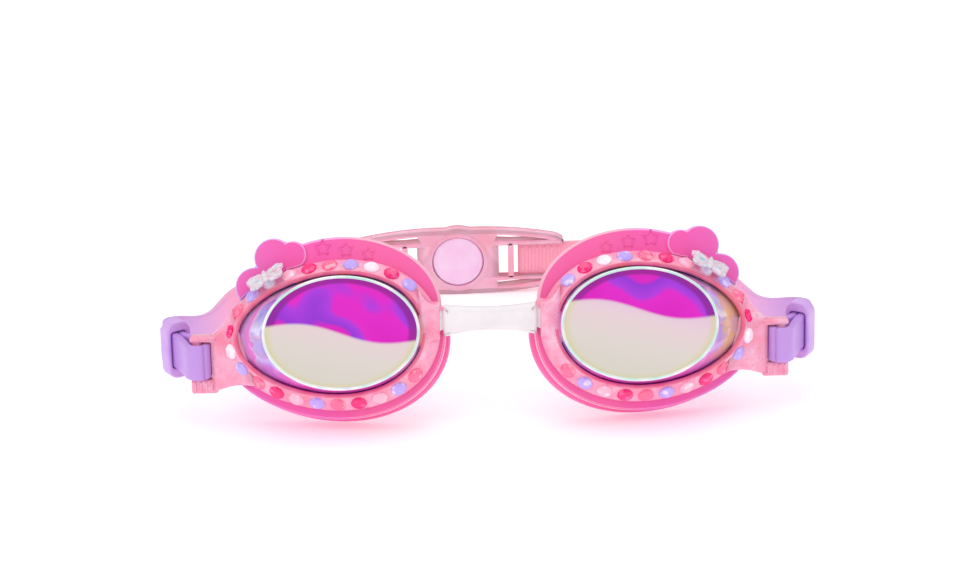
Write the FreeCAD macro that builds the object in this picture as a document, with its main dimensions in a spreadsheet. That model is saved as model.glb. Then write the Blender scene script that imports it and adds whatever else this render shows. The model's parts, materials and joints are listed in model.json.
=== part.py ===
import FreeCAD, Part
import math
import os
import Sketcher
from FreeCAD import Placement, Rotation, Vector

# Children's swim goggles, lying on a flat surface on the lower lips of the two gaskets and on the
# lower edge of the rear buckle. +Z is up, -Y is the way the lenses look, +X is the right-hand side
# as the front is seen. The origin is under the middle of the whole object, on the resting surface.
#
# Two working frames are used:
#   eye frame    origin in the middle of the flat front of a lens, x outward, y into the goggles,
#                z up the lens. An eyepiece leans back about x by the cell "lean".
#   strap frame  origin between the two strap bars, x to the right, y to the rear, z up.
#                The strap falls from the side lugs to the surface, then climbs to the buckle's middle.

doc = FreeCAD.newDocument("swim_goggles")
sheet = doc.addObject("Spreadsheet::Sheet", "Sizes")

SIZES = [
    # eyepieces
    ("eye_spacing", 73.2), ("lean", 23.0), ("frame_yaw", 8.5),
    ("lens_long", 38.7), ("lens_high", 28.2), ("lens_wall", 1.2), ("lens_proud", 5.4),
    ("lens_flange", 1.2), ("flange_thick", 0.9),
    ("opening_long", 46.0), ("opening_high", 29.2), ("opening_shift", 3.0), ("egg_taper", 0.12),
    ("rim_flat", 1.1), ("band_run", 2.9), ("band_drop", 3.7), ("rim_edge", 0.9), ("seat_depth", 1.9),
    # stones and charm
    ("stone_wide", 4.0), ("stone_table", 2.4), ("stone_girdle", 0.8), ("stone_crown", 0.6),
    ("stone_sink", 0.5), ("stones_from", 143.0), ("stones_to", -146.0),
    ("charm_long", 11.0), ("charm_wide", 7.6), ("charm_thick", 1.0), ("charm_foot_wide", 3.6),
    ("charm_foot_high", 2.2), ("charm_splay", 25.0), ("charm_overlap", 0.5),
    # gaskets
    ("flange_over", 1.1), ("gasket_flange", 2.0), ("groove_run", 3.0), ("groove_wall", 1.8),
    ("lip_over", 5.4), ("lip_thick", 4.0), ("cup_wall", 1.6), ("gasket_drop", 1.0),
    ("brow_rise", 6.2), ("brow_past", 4.0), ("brow_over", 7.3), ("brow_shift", 2.3), ("cloud_raise", 0.7),
    # bridge
    ("bridge_high", 8.3), ("bridge_waist", 5.9), ("bridge_thick", 3.2),
    ("bridge_up", 0.9), ("bridge_back", 4.2),
    ("knob_out", 1.6), ("knob_wide", 2.6), ("knob_high", 5.0), ("tongue_thick", 1.3),
    ("tongue_high", 4.6), ("nose_lug_run", 5.1), ("nose_lug_high", 9.6), ("nose_lug_thick", 4.9),
    ("nose_lug_gap", 0.7), ("nose_lug_grip", 1.2),
    # arms and side lugs
    ("arm_root_out", 1.5), ("arm_root_top", 7.5), ("arm_root_in", 4.0), ("arm_root_low", 12.0),
    ("arm_root_thick", 3.4), ("bar_out", 9.9), ("bar_back", 11.0), ("bar_high", 16.9), ("bar_wide", 2.6),
    ("finger_top", 1.4), ("finger_low", 3.6), ("side_lug_root", 1.2),
    ("side_lug_thick", 3.2), ("side_lug_end", 1.8),
    # strap
    ("strap_wide", 9.0), ("strap_thick", 1.8), ("strap_splay", 58.0),
    ("strap_converge", 7.5), ("double_run", 15.0), ("tail_end", 15.8), ("bend_radius", 12.0),
    ("side_radius", 12.0), ("side_heading", 104.0), ("side_run", 50.0), ("strap_tip", 16.6),
    ("fall_share", 0.5), ("climb_share", 0.35), ("floor_gap", 0.3),
    # keepers
    ("keeper_at", 11.1), ("keeper_wall", 2.7), ("keeper_side", 1.25), ("keeper_run", 3.8),
    # rear buckle
    ("buckle_long", 60.0), ("buckle_high", 18.6), ("buckle_thick", 4.6), ("buckle_rail", 1.4),
    ("buckle_shift", 6.0), ("slide_room", 2.0), ("buckle_corner", 3.0), ("shoulder_long", 37.2),
    ("boss_wide", 18.6), ("window_from", 10.8), ("window_to", 26.2), ("end_bar_thick", 1.3),
    ("cross_bar_at", 13.8), ("cross_bar_wide", 1.6), ("cross_bar_thick", 0.9),
    ("badge_wide", 14.0), ("badge_thick", 2.4), ("badge_sink", 0.6),
    # clearances
    ("running_fit", 0.05), ("bridge_room", 1.0), ("seat_fit", 0.05), ("soft_gap", 0.3),
    ("strap_side_gap", 0.4),
]


def add_sizes(pairs, first_row):
    """Write names and plain numbers to the sheet from a row on."""
    for row, (alias, value) in enumerate(pairs, start=first_row):
        sheet.set("A%d" % row, alias)
        sheet.set("B%d" % row, str(value))
        sheet.setAlias("B%d" % row, alias)
    doc.recompute()


def size(alias):
    """Read one cell of the sheet as a plain number."""
    return float(sheet.get(alias))


add_sizes(SIZES, 1)


# --- numbers worked out from the sheet ----------------------------------------------------------

LEAN = math.radians(size("lean"))
YAW = math.radians(size("frame_yaw"))
EYE_X = size("eye_spacing") / 2
NOSE_X = EYE_X + size("opening_shift") - size("opening_long") / 2
OUTER_X = EYE_X + size("opening_shift") + size("opening_long") / 2
DOUBLE_THICK = 2 * size("strap_thick") + size("seat_fit") * 2

# Sizes that follow from the others, kept in the sheet because sketches use them.
add_sizes([
    ("bridge_long", round(2 * (NOSE_X - size("nose_lug_run")), 3)),
    ("knob_x", round(NOSE_X - size("nose_lug_run") + size("knob_out"), 3)),
    ("bar_x", round(OUTER_X + size("bar_out"), 3)),
    ("window_high", round(size("strap_wide") + 2 * size("strap_side_gap"), 3)),
    ("keeper_slot", round(DOUBLE_THICK + 2 * size("soft_gap"), 3)),
], len(SIZES) + 1)
RING_OUT = size("rim_flat") + size("band_run")
RING_BACK = size("band_drop") + size("rim_edge")
FLANGE_FRONT = RING_BACK + size("seat_fit")
GROOVE_FRONT = FLANGE_FRONT + size("gasket_flange")
LIP_FRONT = GROOVE_FRONT + size("groove_run")
LIP_BACK = LIP_FRONT + size("lip_thick")


def egg(angle, grow):
    """A point of the eyepiece outline: an oval drawn in at its outer end, moved out by grow."""
    half_long = size("opening_long") / 2
    half_high = size("opening_high") / 2
    taper = size("egg_taper")
    p = half_long * math.cos(angle)
    w = half_high * math.sin(angle) * (1 - taper * math.cos(angle))
    dp = -half_long * math.sin(angle)
    dw = half_high * (math.cos(angle) - taper * math.cos(2 * angle))
    length = math.hypot(dp, dw)
    return p + grow * dw / length, w - grow * dp / length


def from_frame_plane(p, q, w):
    """A point p outward, q deep and w up in the yawed plane of the rim, in the eye frame."""
    x = size("opening_shift") + p * math.cos(YAW) - q * math.sin(YAW)
    y = size("lens_proud") + p * math.sin(YAW) + q * math.cos(YAW)
    return Vector(x, y, w)


def lowest_of_lip():
    """How far below the lens centre the lower lip of the leaning gasket reaches."""
    lows = []
    for step in range(360):
        p, w = egg(math.radians(step), size("lip_over"))
        point = from_frame_plane(p, LIP_BACK, w - size("gasket_drop"))
        lows.append(point.z * math.cos(LEAN) - point.y * math.sin(LEAN))
    return -min(lows)


# --- strap centre-line --------------------------------------------------------------------------

SPLAY = math.radians(size("strap_splay"))
LOOP_RADIUS = size("bar_wide") / 2 + size("soft_gap") + size("strap_thick") / 2
LAYER_OFF = DOUBLE_THICK / 4
SLOPE = math.atan2(LOOP_RADIUS - LAYER_OFF, size("strap_converge"))
EASE = size("bend_radius") * math.tan(SLOPE / 2)
SLANT = (LOOP_RADIUS * math.cos(SLOPE) - LAYER_OFF) / math.sin(SLOPE)
CONVERGED = LOOP_RADIUS * math.sin(SLOPE) + SLANT * math.cos(SLOPE) + EASE


def layer_moves(side):
    """From the loop's far point round the bar to where the two layers lie together."""
    wrap = side * (math.pi / 2 + SLOPE)
    return [("arc", LOOP_RADIUS, wrap), ("run", SLANT - EASE, 0),
            ("arc", size("bend_radius"), -side * SLOPE)]


def walk(point, heading, moves):
    """Follow runs and arcs from a point: (point, heading, kind, amount, turn)."""
    steps = []
    for kind, amount, turn in moves:
        steps.append((point, heading, kind, amount, turn))
        point, heading = along(steps[-1], 1.0)
    steps.append((point, heading, "end", 0, 0))
    return steps


def along(step, share):
    """The point and heading at a share of one run or arc."""
    point, heading, kind, amount, turn = step
    if kind == "run":
        return point + Vector(math.cos(heading), math.sin(heading), 0) * amount * share, heading
    side = math.copysign(1, turn)
    centre = point + Vector(-math.sin(heading), math.cos(heading), 0) * amount * side
    spoke = Rotation(Vector(0, 0, 1), math.degrees(turn * share)).multVec(point - centre)
    return centre + spoke, heading + turn * share


def offset_edges(steps, shift):
    """The edges of a walk, moved sideways by shift, to the left of the heading."""
    edges = []
    for (point, heading, kind, amount, turn), after in zip(steps, steps[1:]):
        left = Vector(-math.sin(heading), math.cos(heading), 0)
        left_after = Vector(-math.sin(after[1]), math.cos(after[1]), 0)
        begin = point + left * shift
        end = after[0] + left_after * shift
        if kind == "run":
            edges.append(Part.LineSegment(begin, end).toShape())
            continue
        side = math.copysign(1, turn)
        middle_heading = heading + turn / 2
        left_middle = Vector(-math.sin(middle_heading), math.cos(middle_heading), 0)
        centre = point + left * amount * side
        middle = centre - left_middle * side * (amount - shift * side)
        edges.append(Part.Arc(begin, middle, end).toShape())
    return edges


def strip(steps):
    """A flat strap: the walk thickened to both sides and given its width along z."""
    left = offset_edges(steps, size("strap_thick") / 2)
    right = offset_edges(steps, -size("strap_thick") / 2)
    first = Part.LineSegment(left[0].firstVertex(True).Point, right[0].firstVertex(True).Point)
    last = Part.LineSegment(left[-1].lastVertex(True).Point, right[-1].lastVertex(True).Point)
    edges = left + right + [first.toShape(), last.toShape()]
    face = Part.Face(Part.Wire(Part.__sortEdges__(edges)))
    face.translate(Vector(0, 0, -size("strap_wide") / 2))
    return face.extrude(Vector(0, 0, size("strap_wide")))


LOOP_START = Vector(size("bar_x"), 0, 0) - Vector(math.cos(SPLAY), math.sin(SPLAY), 0) * LOOP_RADIUS
SIDE_HEADING = math.radians(size("side_heading"))
MAIN_STEPS = walk(LOOP_START, SPLAY + math.pi / 2,
                  layer_moves(-1) + [("run", size("double_run") - CONVERGED, 0)])
TAIL_STEPS = walk(LOOP_START, SPLAY - math.pi / 2,
                  layer_moves(1) + [("run", size("tail_end") - CONVERGED, 0)])
SIDE_STEPS = walk(MAIN_STEPS[-1][0], SPLAY, [
    ("arc", size("side_radius"), SIDE_HEADING - SPLAY), ("run", size("side_run"), 0)])
# The rear bend ends where the buckle's longer reach begins, so the strap is straight inside it.
REAR_STRAIGHT = size("buckle_long") / 2 + size("buckle_shift") + size("slide_room")
REAR_RADIUS = (SIDE_STEPS[-1][0].x - REAR_STRAIGHT) / math.sin(SIDE_HEADING)
REAR_STEPS = walk(SIDE_STEPS[-1][0], SIDE_HEADING, [("arc", REAR_RADIUS, math.pi - SIDE_HEADING)])
FREE_STEPS = SIDE_STEPS[:-1] + REAR_STEPS[:-1]
REAR_END = REAR_STEPS[-1][0]

# --- places in the row frame --------------------------------------------------------------------

BAR_Z = size("bar_high")
STRAP_LOW = size("strap_wide") / 2 + size("floor_gap") - BAR_Z
STRAP_REAR = size("buckle_high") / 2 - BAR_Z
# The strap lies midway between the end bar behind it and the cross bar in front of it.
BUCKLE_Y = REAR_END.y + (size("end_bar_thick") - size("cross_bar_thick")) / 2
BUCKLE_SPOT = Vector(-size("buckle_shift"), BUCKLE_Y, STRAP_REAR)
EYE_Z = lowest_of_lip()
FRONT_REACH = size("lens_high") / 2 * math.sin(LEAN)
REAR_REACH = BUCKLE_Y + size("buckle_thick") / 2
EYE_Y = (FRONT_REACH - size("bar_back") - REAR_REACH) / 2
BAR_Y = EYE_Y + size("bar_back")

LEANING = Rotation(Vector(1, 0, 0), -size("lean"))
STRAP_FRAME = Placement(Vector(0, BAR_Y, BAR_Z), Rotation())


def eye_frame(side):
    """Placement of an eyepiece: side is 1 on the right and -1 on the left."""
    return Placement(Vector(side * EYE_X, EYE_Y, EYE_Z), LEANING)


def bridge_frame():
    """Placement of the bridge: its middle, with the knobs upright like the strap bars."""
    return Placement(Vector(0, EYE_Y + size("bridge_back"), EYE_Z + size("bridge_up")), Rotation())


def in_eye_frame(shape, own_frame):
    """A shape given in another frame, expressed in the right eyepiece's frame."""
    moved = shape.copy()
    moved.Placement = eye_frame(1).inverse().multiply(own_frame).multiply(shape.Placement)
    return moved


# --- free part of the strap ---------------------------------------------------------------------

def eased(share):
    """A smooth step from 0 to 1."""
    share = min(max(share, 0.0), 1.0)
    return share * share * (3 - 2 * share)


def strap_height(share):
    """The strap's middle above the bar's, at a share of its way from the keeper to the buckle."""
    fall = eased(share / size("fall_share"))
    climb = eased((share - 1 + size("climb_share")) / size("climb_share"))
    return STRAP_LOW * fall + (STRAP_REAR - STRAP_LOW) * climb


def strap_section(point, heading, height):
    """An upright section of the strap."""
    left = Vector(-math.sin(heading), math.cos(heading), 0) * size("strap_thick") / 2
    up = Vector(0, 0, size("strap_wide") / 2)
    middle = point + Vector(0, 0, height)
    corners = [middle - left - up, middle + left - up, middle + left + up, middle - left + up]
    return Part.makePolygon(corners + corners[:1])


def free_strap():
    """The strap from its double part to the straight part at the buckle."""
    lengths = [amount if kind == "run" else amount * abs(turn)
               for point, heading, kind, amount, turn in FREE_STEPS]
    sections = []
    travelled = 0.0
    parts = 5
    for step, length in zip(FREE_STEPS, lengths):
        for part in range(parts):
            point, heading = along(step, part / parts)
            share = (travelled + length * part / parts) / sum(lengths)
            sections.append(strap_section(point, heading, strap_height(share)))
        travelled += length
    sections.append(strap_section(REAR_END, math.pi, STRAP_REAR))
    return Part.makeLoft(sections, True, False)


def strap_shape(tip):
    """Strap half: loop round the bar, tail, free part and straight end with its tip at x = tip."""
    end = strip(walk(REAR_END, math.pi, [("run", REAR_END.x - tip, 0)]))
    end.translate(Vector(0, 0, STRAP_REAR))
    return strip(MAIN_STEPS).fuse(strip(TAIL_STEPS)).fuse(free_strap()).fuse(end)


# --- outlines of the eyepiece -------------------------------------------------------------------

OUTLINE_POINTS = 36


def closed_curve(points):
    """A smooth closed curve through the points."""
    curve = Part.BSplineCurve()
    curve.interpolate(points, PeriodicFlag=True)
    return Part.Wire(curve.toShape())


def egg_wire(grow, q):
    """The eyepiece outline, grown by grow, at depth q in the rim's own plane."""
    points = []
    for step in range(OUTLINE_POINTS):
        p, w = egg(2 * math.pi * step / OUTLINE_POINTS, grow)
        points.append(from_frame_plane(p, q, w))
    return closed_curve(points)


def oval_wire(inset, y):
    """The flat oval of the lens, drawn in by inset, at depth y in the eye frame."""
    points = []
    for step in range(OUTLINE_POINTS):
        angle = 2 * math.pi * step / OUTLINE_POINTS
        x = (size("lens_long") / 2 - inset) * math.cos(angle)
        z = (size("lens_high") / 2 - inset) * math.sin(angle)
        points.append(Vector(x, y, z))
    return closed_curve(points)


def egg_ring(levels):
    """A solid through egg outlines, each level being (grow, q)."""
    return Part.makeLoft([egg_wire(grow, q) for grow, q in levels], True, True)


def frame_plane_placement():
    """Placement that takes (p, q, w) to the eye frame."""
    return Placement(from_frame_plane(0, 0, 0), Rotation(Vector(0, 0, 1), size("frame_yaw")))


# --- stones -------------------------------------------------------------------------------------

STONE_ORDER = ["lilac", "hot_pink", "clear", "lilac", "rose", "hot_pink", "pale_pink", "charm",
               "lilac", "rose", "hot_pink", "clear", "lilac", "rose", "hot_pink", "pale_pink",
               "lilac", "rose", "hot_pink", "pale_pink", "lilac", "rose"]
STONE_COLOURS = ["hot_pink", "rose", "pale_pink", "lilac", "clear"]
BAND_MIDDLE = size("rim_flat") + size("band_run") / 2


def stone_angles():
    """Outline angles of the stones, evenly spaced along the sloping band."""
    fine = 1440
    start = math.radians(size("stones_from"))
    span = math.radians(size("stones_to")) - start
    angles = [start + span * step / fine for step in range(fine + 1)]
    points = [egg(angle, BAND_MIDDLE) for angle in angles]
    travelled = [0.0]
    for before, after in zip(points, points[1:]):
        travelled.append(travelled[-1] + math.dist(before, after))
    found = []
    for index in range(len(STONE_ORDER)):
        goal = travelled[-1] * index / (len(STONE_ORDER) - 1)
        nearest = min(range(fine + 1), key=lambda step: abs(travelled[step] - goal))
        found.append(angles[nearest])
    return found


def band_seat(angle, lift, grow=None):
    """Placement on the band: z along its outward normal, x along the band."""
    grow = BAND_MIDDLE if grow is None else grow
    p, w = egg(angle, grow)
    p_out, w_out = egg(angle, grow + 1)
    outward = Vector(p_out - p, 0, w_out - w)
    slope = math.atan2(size("band_drop"), size("band_run"))
    normal = outward * math.sin(slope) + Vector(0, -1, 0) * math.cos(slope)
    along = Vector(0, 1, 0).cross(outward)
    spot = Vector(p, size("band_drop") / 2, w) + normal * lift
    return frame_plane_placement().multiply(
        Placement(spot, Rotation(along, normal.cross(along), normal, "ZXY")))


def stone_shape():
    """One stone with its flat back on z = 0: a round girdle under a faceted crown."""
    girdle = Part.makeCylinder(size("stone_wide") / 2, size("stone_girdle"))
    crown = Part.makeCone(size("stone_wide") / 2, size("stone_table") / 2, size("stone_crown"),
                          Vector(0, 0, size("stone_girdle")))
    return girdle.fuse(crown).removeSplitter()


def stones_of(colour):
    """All stones of one colour on one eyepiece, as separate solids."""
    stones = []
    for name, angle in zip(STONE_ORDER, stone_angles()):
        if name == colour:
            stone = stone_shape()
            stone.Placement = band_seat(angle, -size("stone_sink"))
            stones.append(stone)
    return Part.makeCompound(stones)


def charm_shape():
    """Two pairs of wings on a round foot, which sits in the band like a stone."""
    angle = stone_angles()[STONE_ORDER.index("charm")]
    foot_high = size("charm_foot_high")
    body = [Part.makeCylinder(size("charm_foot_wide") / 2, foot_high)]
    splay = size("charm_splay")
    for turn in (splay, -splay, 180 - splay, 180 + splay):
        wing = Part.Wire(Part.Ellipse(Vector(0, 0, 0), size("charm_long") / 4,
                                      size("charm_wide") / 4).toShape())
        wing = Part.Face(wing).extrude(Vector(0, 0, size("charm_thick")))
        wing.translate(Vector(size("charm_long") / 4 - size("charm_overlap"), 0,
                              foot_high - size("charm_thick") / 2))
        wing.rotate(Vector(0, 0, 0), Vector(0, 0, 1), turn)
        body.append(wing)
    charm = body[0].multiFuse(body[1:]).removeSplitter()
    charm.Placement = band_seat(angle, -size("stone_sink"))
    return charm


# --- frame, lens and gasket, right-hand side, in the eye frame ----------------------------------

def nose_lug():
    """Block at the nose with a round socket for the bridge's knob, in the bridge frame."""
    front = -size("nose_lug_thick") / 2
    inner = size("bridge_long") / 2 + size("nose_lug_gap")
    high = size("nose_lug_high")
    run = NOSE_X + size("nose_lug_grip") - inner
    block = Part.makeBox(run, size("nose_lug_thick"), high, Vector(inner, front, -high / 2))
    socket_high = size("knob_high") + 2 * size("soft_gap")
    socket = Part.makeCylinder(size("knob_wide") / 2 + size("running_fit"), socket_high,
                               Vector(size("knob_x"), 0, -socket_high / 2))
    mouth_wide = size("tongue_thick") + size("bridge_room")
    mouth = Part.makeBox(size("knob_x") - inner + 1, mouth_wide, socket_high,
                         Vector(inner - 1, -mouth_wide / 2, -socket_high / 2))
    return block, socket.fuse(mouth)


def side_lug():
    """Arm end with the strap bar, square to the strap, in the strap frame."""
    thick = size("side_lug_thick")
    half = size("window_high") / 2
    slot_from = size("bar_x") - LOOP_RADIUS - size("strap_thick") / 2 - size("soft_gap")
    root_x = slot_from - size("side_lug_root")
    outer = size("bar_x") + size("side_lug_end")
    block = Part.makeBox(outer - root_x, thick, 2 * half + size("finger_top") + size("finger_low"),
                         Vector(root_x, -thick / 2, -half - size("finger_low")))
    gap = Part.makeBox(outer - slot_from + thick, 4 * thick, 2 * half, Vector(slot_from, -2 * thick, -half))
    bar = Part.makeCylinder(size("bar_wide") / 2, 2 * half + size("finger_top"),
                            Vector(size("bar_x"), 0, -half - size("finger_top") / 2))
    return block.cut(gap).fuse(bar), root_x


def arm(root_x):
    """Tapering wing from the rim to the side lug, in the eye frame."""
    half = size("window_high") / 2
    thick = size("side_lug_thick")
    opening_end = size("opening_long") / 2
    near_top = (opening_end + size("arm_root_out"), size("arm_root_top"))
    near_low = (opening_end - size("arm_root_in"), -size("arm_root_low"))
    far_top = half + size("finger_top")
    far_low = -half - size("finger_low")
    to_eye = eye_frame(1).inverse()
    near = []
    far = []
    for across, (p, w), z in ((-1, near_low, far_low), (1, near_low, far_low), (1, near_top, far_top),
                              (-1, near_top, far_top)):
        near.append(from_frame_plane(p, (RING_BACK + across * size("arm_root_thick")) / 2, w))
        corner = Vector(root_x + size("side_lug_root") / 2, across * thick / 2, z)
        far.append(to_eye.multVec(STRAP_FRAME.multVec(corner)))
    return Part.makeLoft([Part.makePolygon(near + near[:1]), Part.makePolygon(far + far[:1])],
                         True, True)


def frame_shape():
    """The moulded rim with its sloping band, stone seats, nose lug and side lug."""
    ring = egg_ring([(size("rim_flat"), 0), (RING_OUT, size("band_drop")), (RING_OUT, RING_BACK)])
    block, socket = nose_lug()
    lug, root_x = side_lug()
    solid = ring.fuse(in_eye_frame(block, bridge_frame()))
    solid = solid.fuse(arm(root_x)).fuse(in_eye_frame(lug, STRAP_FRAME))
    seat = size("lens_flange") + size("seat_fit")
    behind = Part.makeBox(2 * size("bar_x"), 30, 120, Vector(-size("bar_x"), RING_BACK, -60))
    flange_room = RING_OUT + size("flange_over") + size("gasket_drop") + size("soft_gap")
    limit = egg_ring([(flange_room, RING_BACK - 1), (flange_room, RING_BACK + 12)])
    behind.Placement = frame_plane_placement()
    solid = solid.cut(behind.common(limit))
    solid = solid.cut(egg_ring([(0, -3), (0, RING_BACK + 2)]))
    solid = solid.cut(egg_ring([(seat, size("seat_depth")), (seat, RING_BACK + 2)]))
    solid = solid.cut(in_eye_frame(socket, bridge_frame()))
    for name, angle in zip(STONE_ORDER, stone_angles()):
        wide = size("charm_foot_wide") if name == "charm" else size("stone_wide")
        pocket = Part.makeCylinder(wide / 2 + size("seat_fit"), 6)
        pocket.Placement = band_seat(angle, -size("stone_sink"))
        solid = solid.cut(pocket)
    return solid


def lens_shape():
    """Cupped lens: a flat oval front, a side that reaches back to the rim, and a flange."""
    clear = size("seat_fit")
    wall = size("lens_wall")
    back = size("seat_depth") + clear
    flange_back = back + size("flange_thick")
    skirt = Part.makeLoft([oval_wire(0, 0), egg_wire(-clear, back)], True, True)
    flange = egg_ring([(size("lens_flange"), back), (size("lens_flange"), flange_back)])
    hollow = Part.makeLoft([oval_wire(wall * 0.8, wall), egg_wire(-wall, flange_back + 0.5)],
                           True, True)
    return skirt.fuse(flange).cut(hollow).removeSplitter()


# Each lobe of the brow cloud: how far in from the opening's outer end, how far above its top, radius.
CLOUD_LOBES = [(8.7, 5.3, 4.9), (3.8, -1.7, 4.9), (13.6, 5.7, 3.6), (8.0, -0.6, 5.0)]


def bridge_room():
    """Space the bridge's end needs as the eyepiece turns on its knob, in the eye frame."""
    reach = size("knob_x") + size("knob_wide") / 2 + size("soft_gap")
    deep = size("bridge_thick") + 2 * size("bridge_room")
    high = size("bridge_high") + 2 * size("bridge_room")
    room = Part.makeBox(reach, deep, high, Vector(0, -deep / 2, -high / 2))
    return in_eye_frame(room, bridge_frame())


def gasket_shape():
    """Soft cup: a collar behind the lens, a flange with the brow and cloud, a groove and a lip."""
    collar_front = size("seat_depth") + size("flange_thick") + 2 * size("seat_fit")
    bite = size("soft_gap")
    collar = egg_ring([(size("lens_flange") - size("seat_fit"), collar_front),
                       (size("lens_flange") - size("seat_fit"), FLANGE_FRONT + bite)])
    over = RING_OUT + size("flange_over")
    drop = Vector(0, 0, -size("gasket_drop"))
    flange = egg_ring([(over, FLANGE_FRONT), (over, GROOVE_FRONT)])
    flange.translate(drop)
    half_long = size("opening_long") / 2
    half_high = size("opening_high") / 2
    brow = Part.Face(Part.Wire(Part.Ellipse(Vector(0, 0, 0), half_long + size("brow_past") / 2,
                                            half_high + size("brow_over") / 2).toShape()))
    brow = brow.extrude(Vector(0, 0, size("gasket_flange")))
    lobes = []
    for inward, above, radius in CLOUD_LOBES:
        spot = Vector(half_long - inward, FLANGE_FRONT - size("cloud_raise"), half_high + above)
        thick = size("gasket_flange") + size("cloud_raise")
        lobes.append(Part.makeCylinder(radius, thick, spot, Vector(0, 1, 0)))
    brow.Placement = Placement(Vector(-size("brow_shift"), GROOVE_FRONT, size("brow_rise")),
                               Rotation(Vector(1, 0, 0), 90))
    plate = lobes[0].multiFuse(lobes[1:] + [brow])
    plate.Placement = frame_plane_placement()
    plate = Part.makeCompound([plate])
    clear = RING_OUT + size("soft_gap")
    front_room = egg_ring([(clear, -6), (clear, FLANGE_FRONT)])
    groove = egg_ring([(size("groove_wall"), GROOVE_FRONT - bite), (size("groove_wall"), LIP_FRONT + bite)])
    lip = egg_ring([(size("lip_over") - 1, LIP_FRONT), (size("lip_over"), LIP_FRONT + size("lip_thick") / 3),
                    (size("lip_over"), LIP_BACK)])
    lip.translate(drop)
    inner = size("groove_wall") - size("cup_wall")
    hollow = egg_ring([(inner - 0.6, collar_front - 1), (inner, GROOVE_FRONT), (inner, LIP_FRONT),
                       (inner + 1.6, LIP_BACK + 0.5)])
    solid = flange.fuse(plate.cut(front_room)).fuse(collar).fuse(groove).fuse(lip)
    return solid.cut(hollow).cut(bridge_room()).removeSplitter()


# --- part design helpers ------------------------------------------------------------------------

def new_body(label):
    """An empty body with its label."""
    body = doc.addObject("PartDesign::Body", label)
    body.Label = label
    return body


def sketch_on(body, role, name, offset=("0", "0", "0")):
    """A sketch on one of the body's origin planes, moved by three formulas along its own axes."""
    plane = next(item for item in body.Origin.OriginFeatures if item.Role == role)
    sketch = body.newObject("Sketcher::SketchObject", name)
    sketch.AttachmentSupport = [(plane, "")]
    sketch.MapMode = "FlatFace"
    for letter, formula in zip("xyz", offset):
        if formula != "0":
            sketch.setExpression("AttachmentOffset.Base." + letter, formula)
    return sketch


def add_rectangle(sketch, wide, high):
    """A rectangle about the sketch's middle, its two sizes given as formulas."""
    corners = [Vector(-5, -5, 0), Vector(5, -5, 0), Vector(5, 5, 0), Vector(-5, 5, 0)]
    first = sketch.GeometryCount
    for index in range(4):
        sketch.addGeometry(Part.LineSegment(corners[index], corners[(index + 1) % 4]), False)
    for index in range(4):
        following = first + (index + 1) % 4
        sketch.addConstraint(Sketcher.Constraint("Coincident", first + index, 2, following, 1))
    for index, kind in enumerate(("Horizontal", "Vertical", "Horizontal", "Vertical")):
        sketch.addConstraint(Sketcher.Constraint(kind, first + index))
    sketch.addConstraint(Sketcher.Constraint("Symmetric", first, 1, first + 2, 1, -1, 1))
    across = sketch.addConstraint(Sketcher.Constraint("DistanceX", first, 1, first, 2, 10))
    sketch.setExpression("Constraints[%d]" % across, wide)
    upward = sketch.addConstraint(Sketcher.Constraint("DistanceY", first + 1, 1, first + 1, 2, 10))
    sketch.setExpression("Constraints[%d]" % upward, high)


def add_circle(sketch, radius):
    """A circle about the sketch's middle, its radius given as a formula."""
    circle = sketch.addGeometry(Part.Circle(Vector(0, 0, 0), Vector(0, 0, 1), 5), False)
    sketch.addConstraint(Sketcher.Constraint("Coincident", circle, 3, -1, 1))
    index = sketch.addConstraint(Sketcher.Constraint("Radius", circle, 5))
    sketch.setExpression("Constraints[%d]" % index, radius)


def both_ways(body, sketch, kind, length):
    """A pad or pocket that goes half its length to each side of its sketch."""
    before = body.Shape.Volume if not body.Shape.isNull() else 0.0
    feature = body.newObject("PartDesign::" + kind, sketch.Name + kind)
    feature.Profile = sketch
    feature.SideType = "Symmetric"
    feature.setExpression("Length", length)
    doc.recompute()
    change = body.Shape.Volume - before
    if (kind == "Pad") != (change > 0):
        raise RuntimeError("%s changed the volume of %s the wrong way" % (feature.Name, body.Label))
    return feature


def round_edges(body, radius, chosen):
    """Fillet the edges of the body's present shape that the test picks."""
    doc.recompute()
    base = body.Tip
    names = ["Edge%d" % number for number, edge in enumerate(base.Shape.Edges, start=1)
             if chosen(edge)]
    fillet = body.newObject("PartDesign::Fillet", body.Name + "Round")
    fillet.Base = (base, names)
    fillet.Radius = radius
    doc.recompute()


# --- bridge, keepers, buckle and badge ----------------------------------------------------------

def cell(alias):
    """A cell's name as a formula writes it."""
    return "Sizes." + alias


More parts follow.
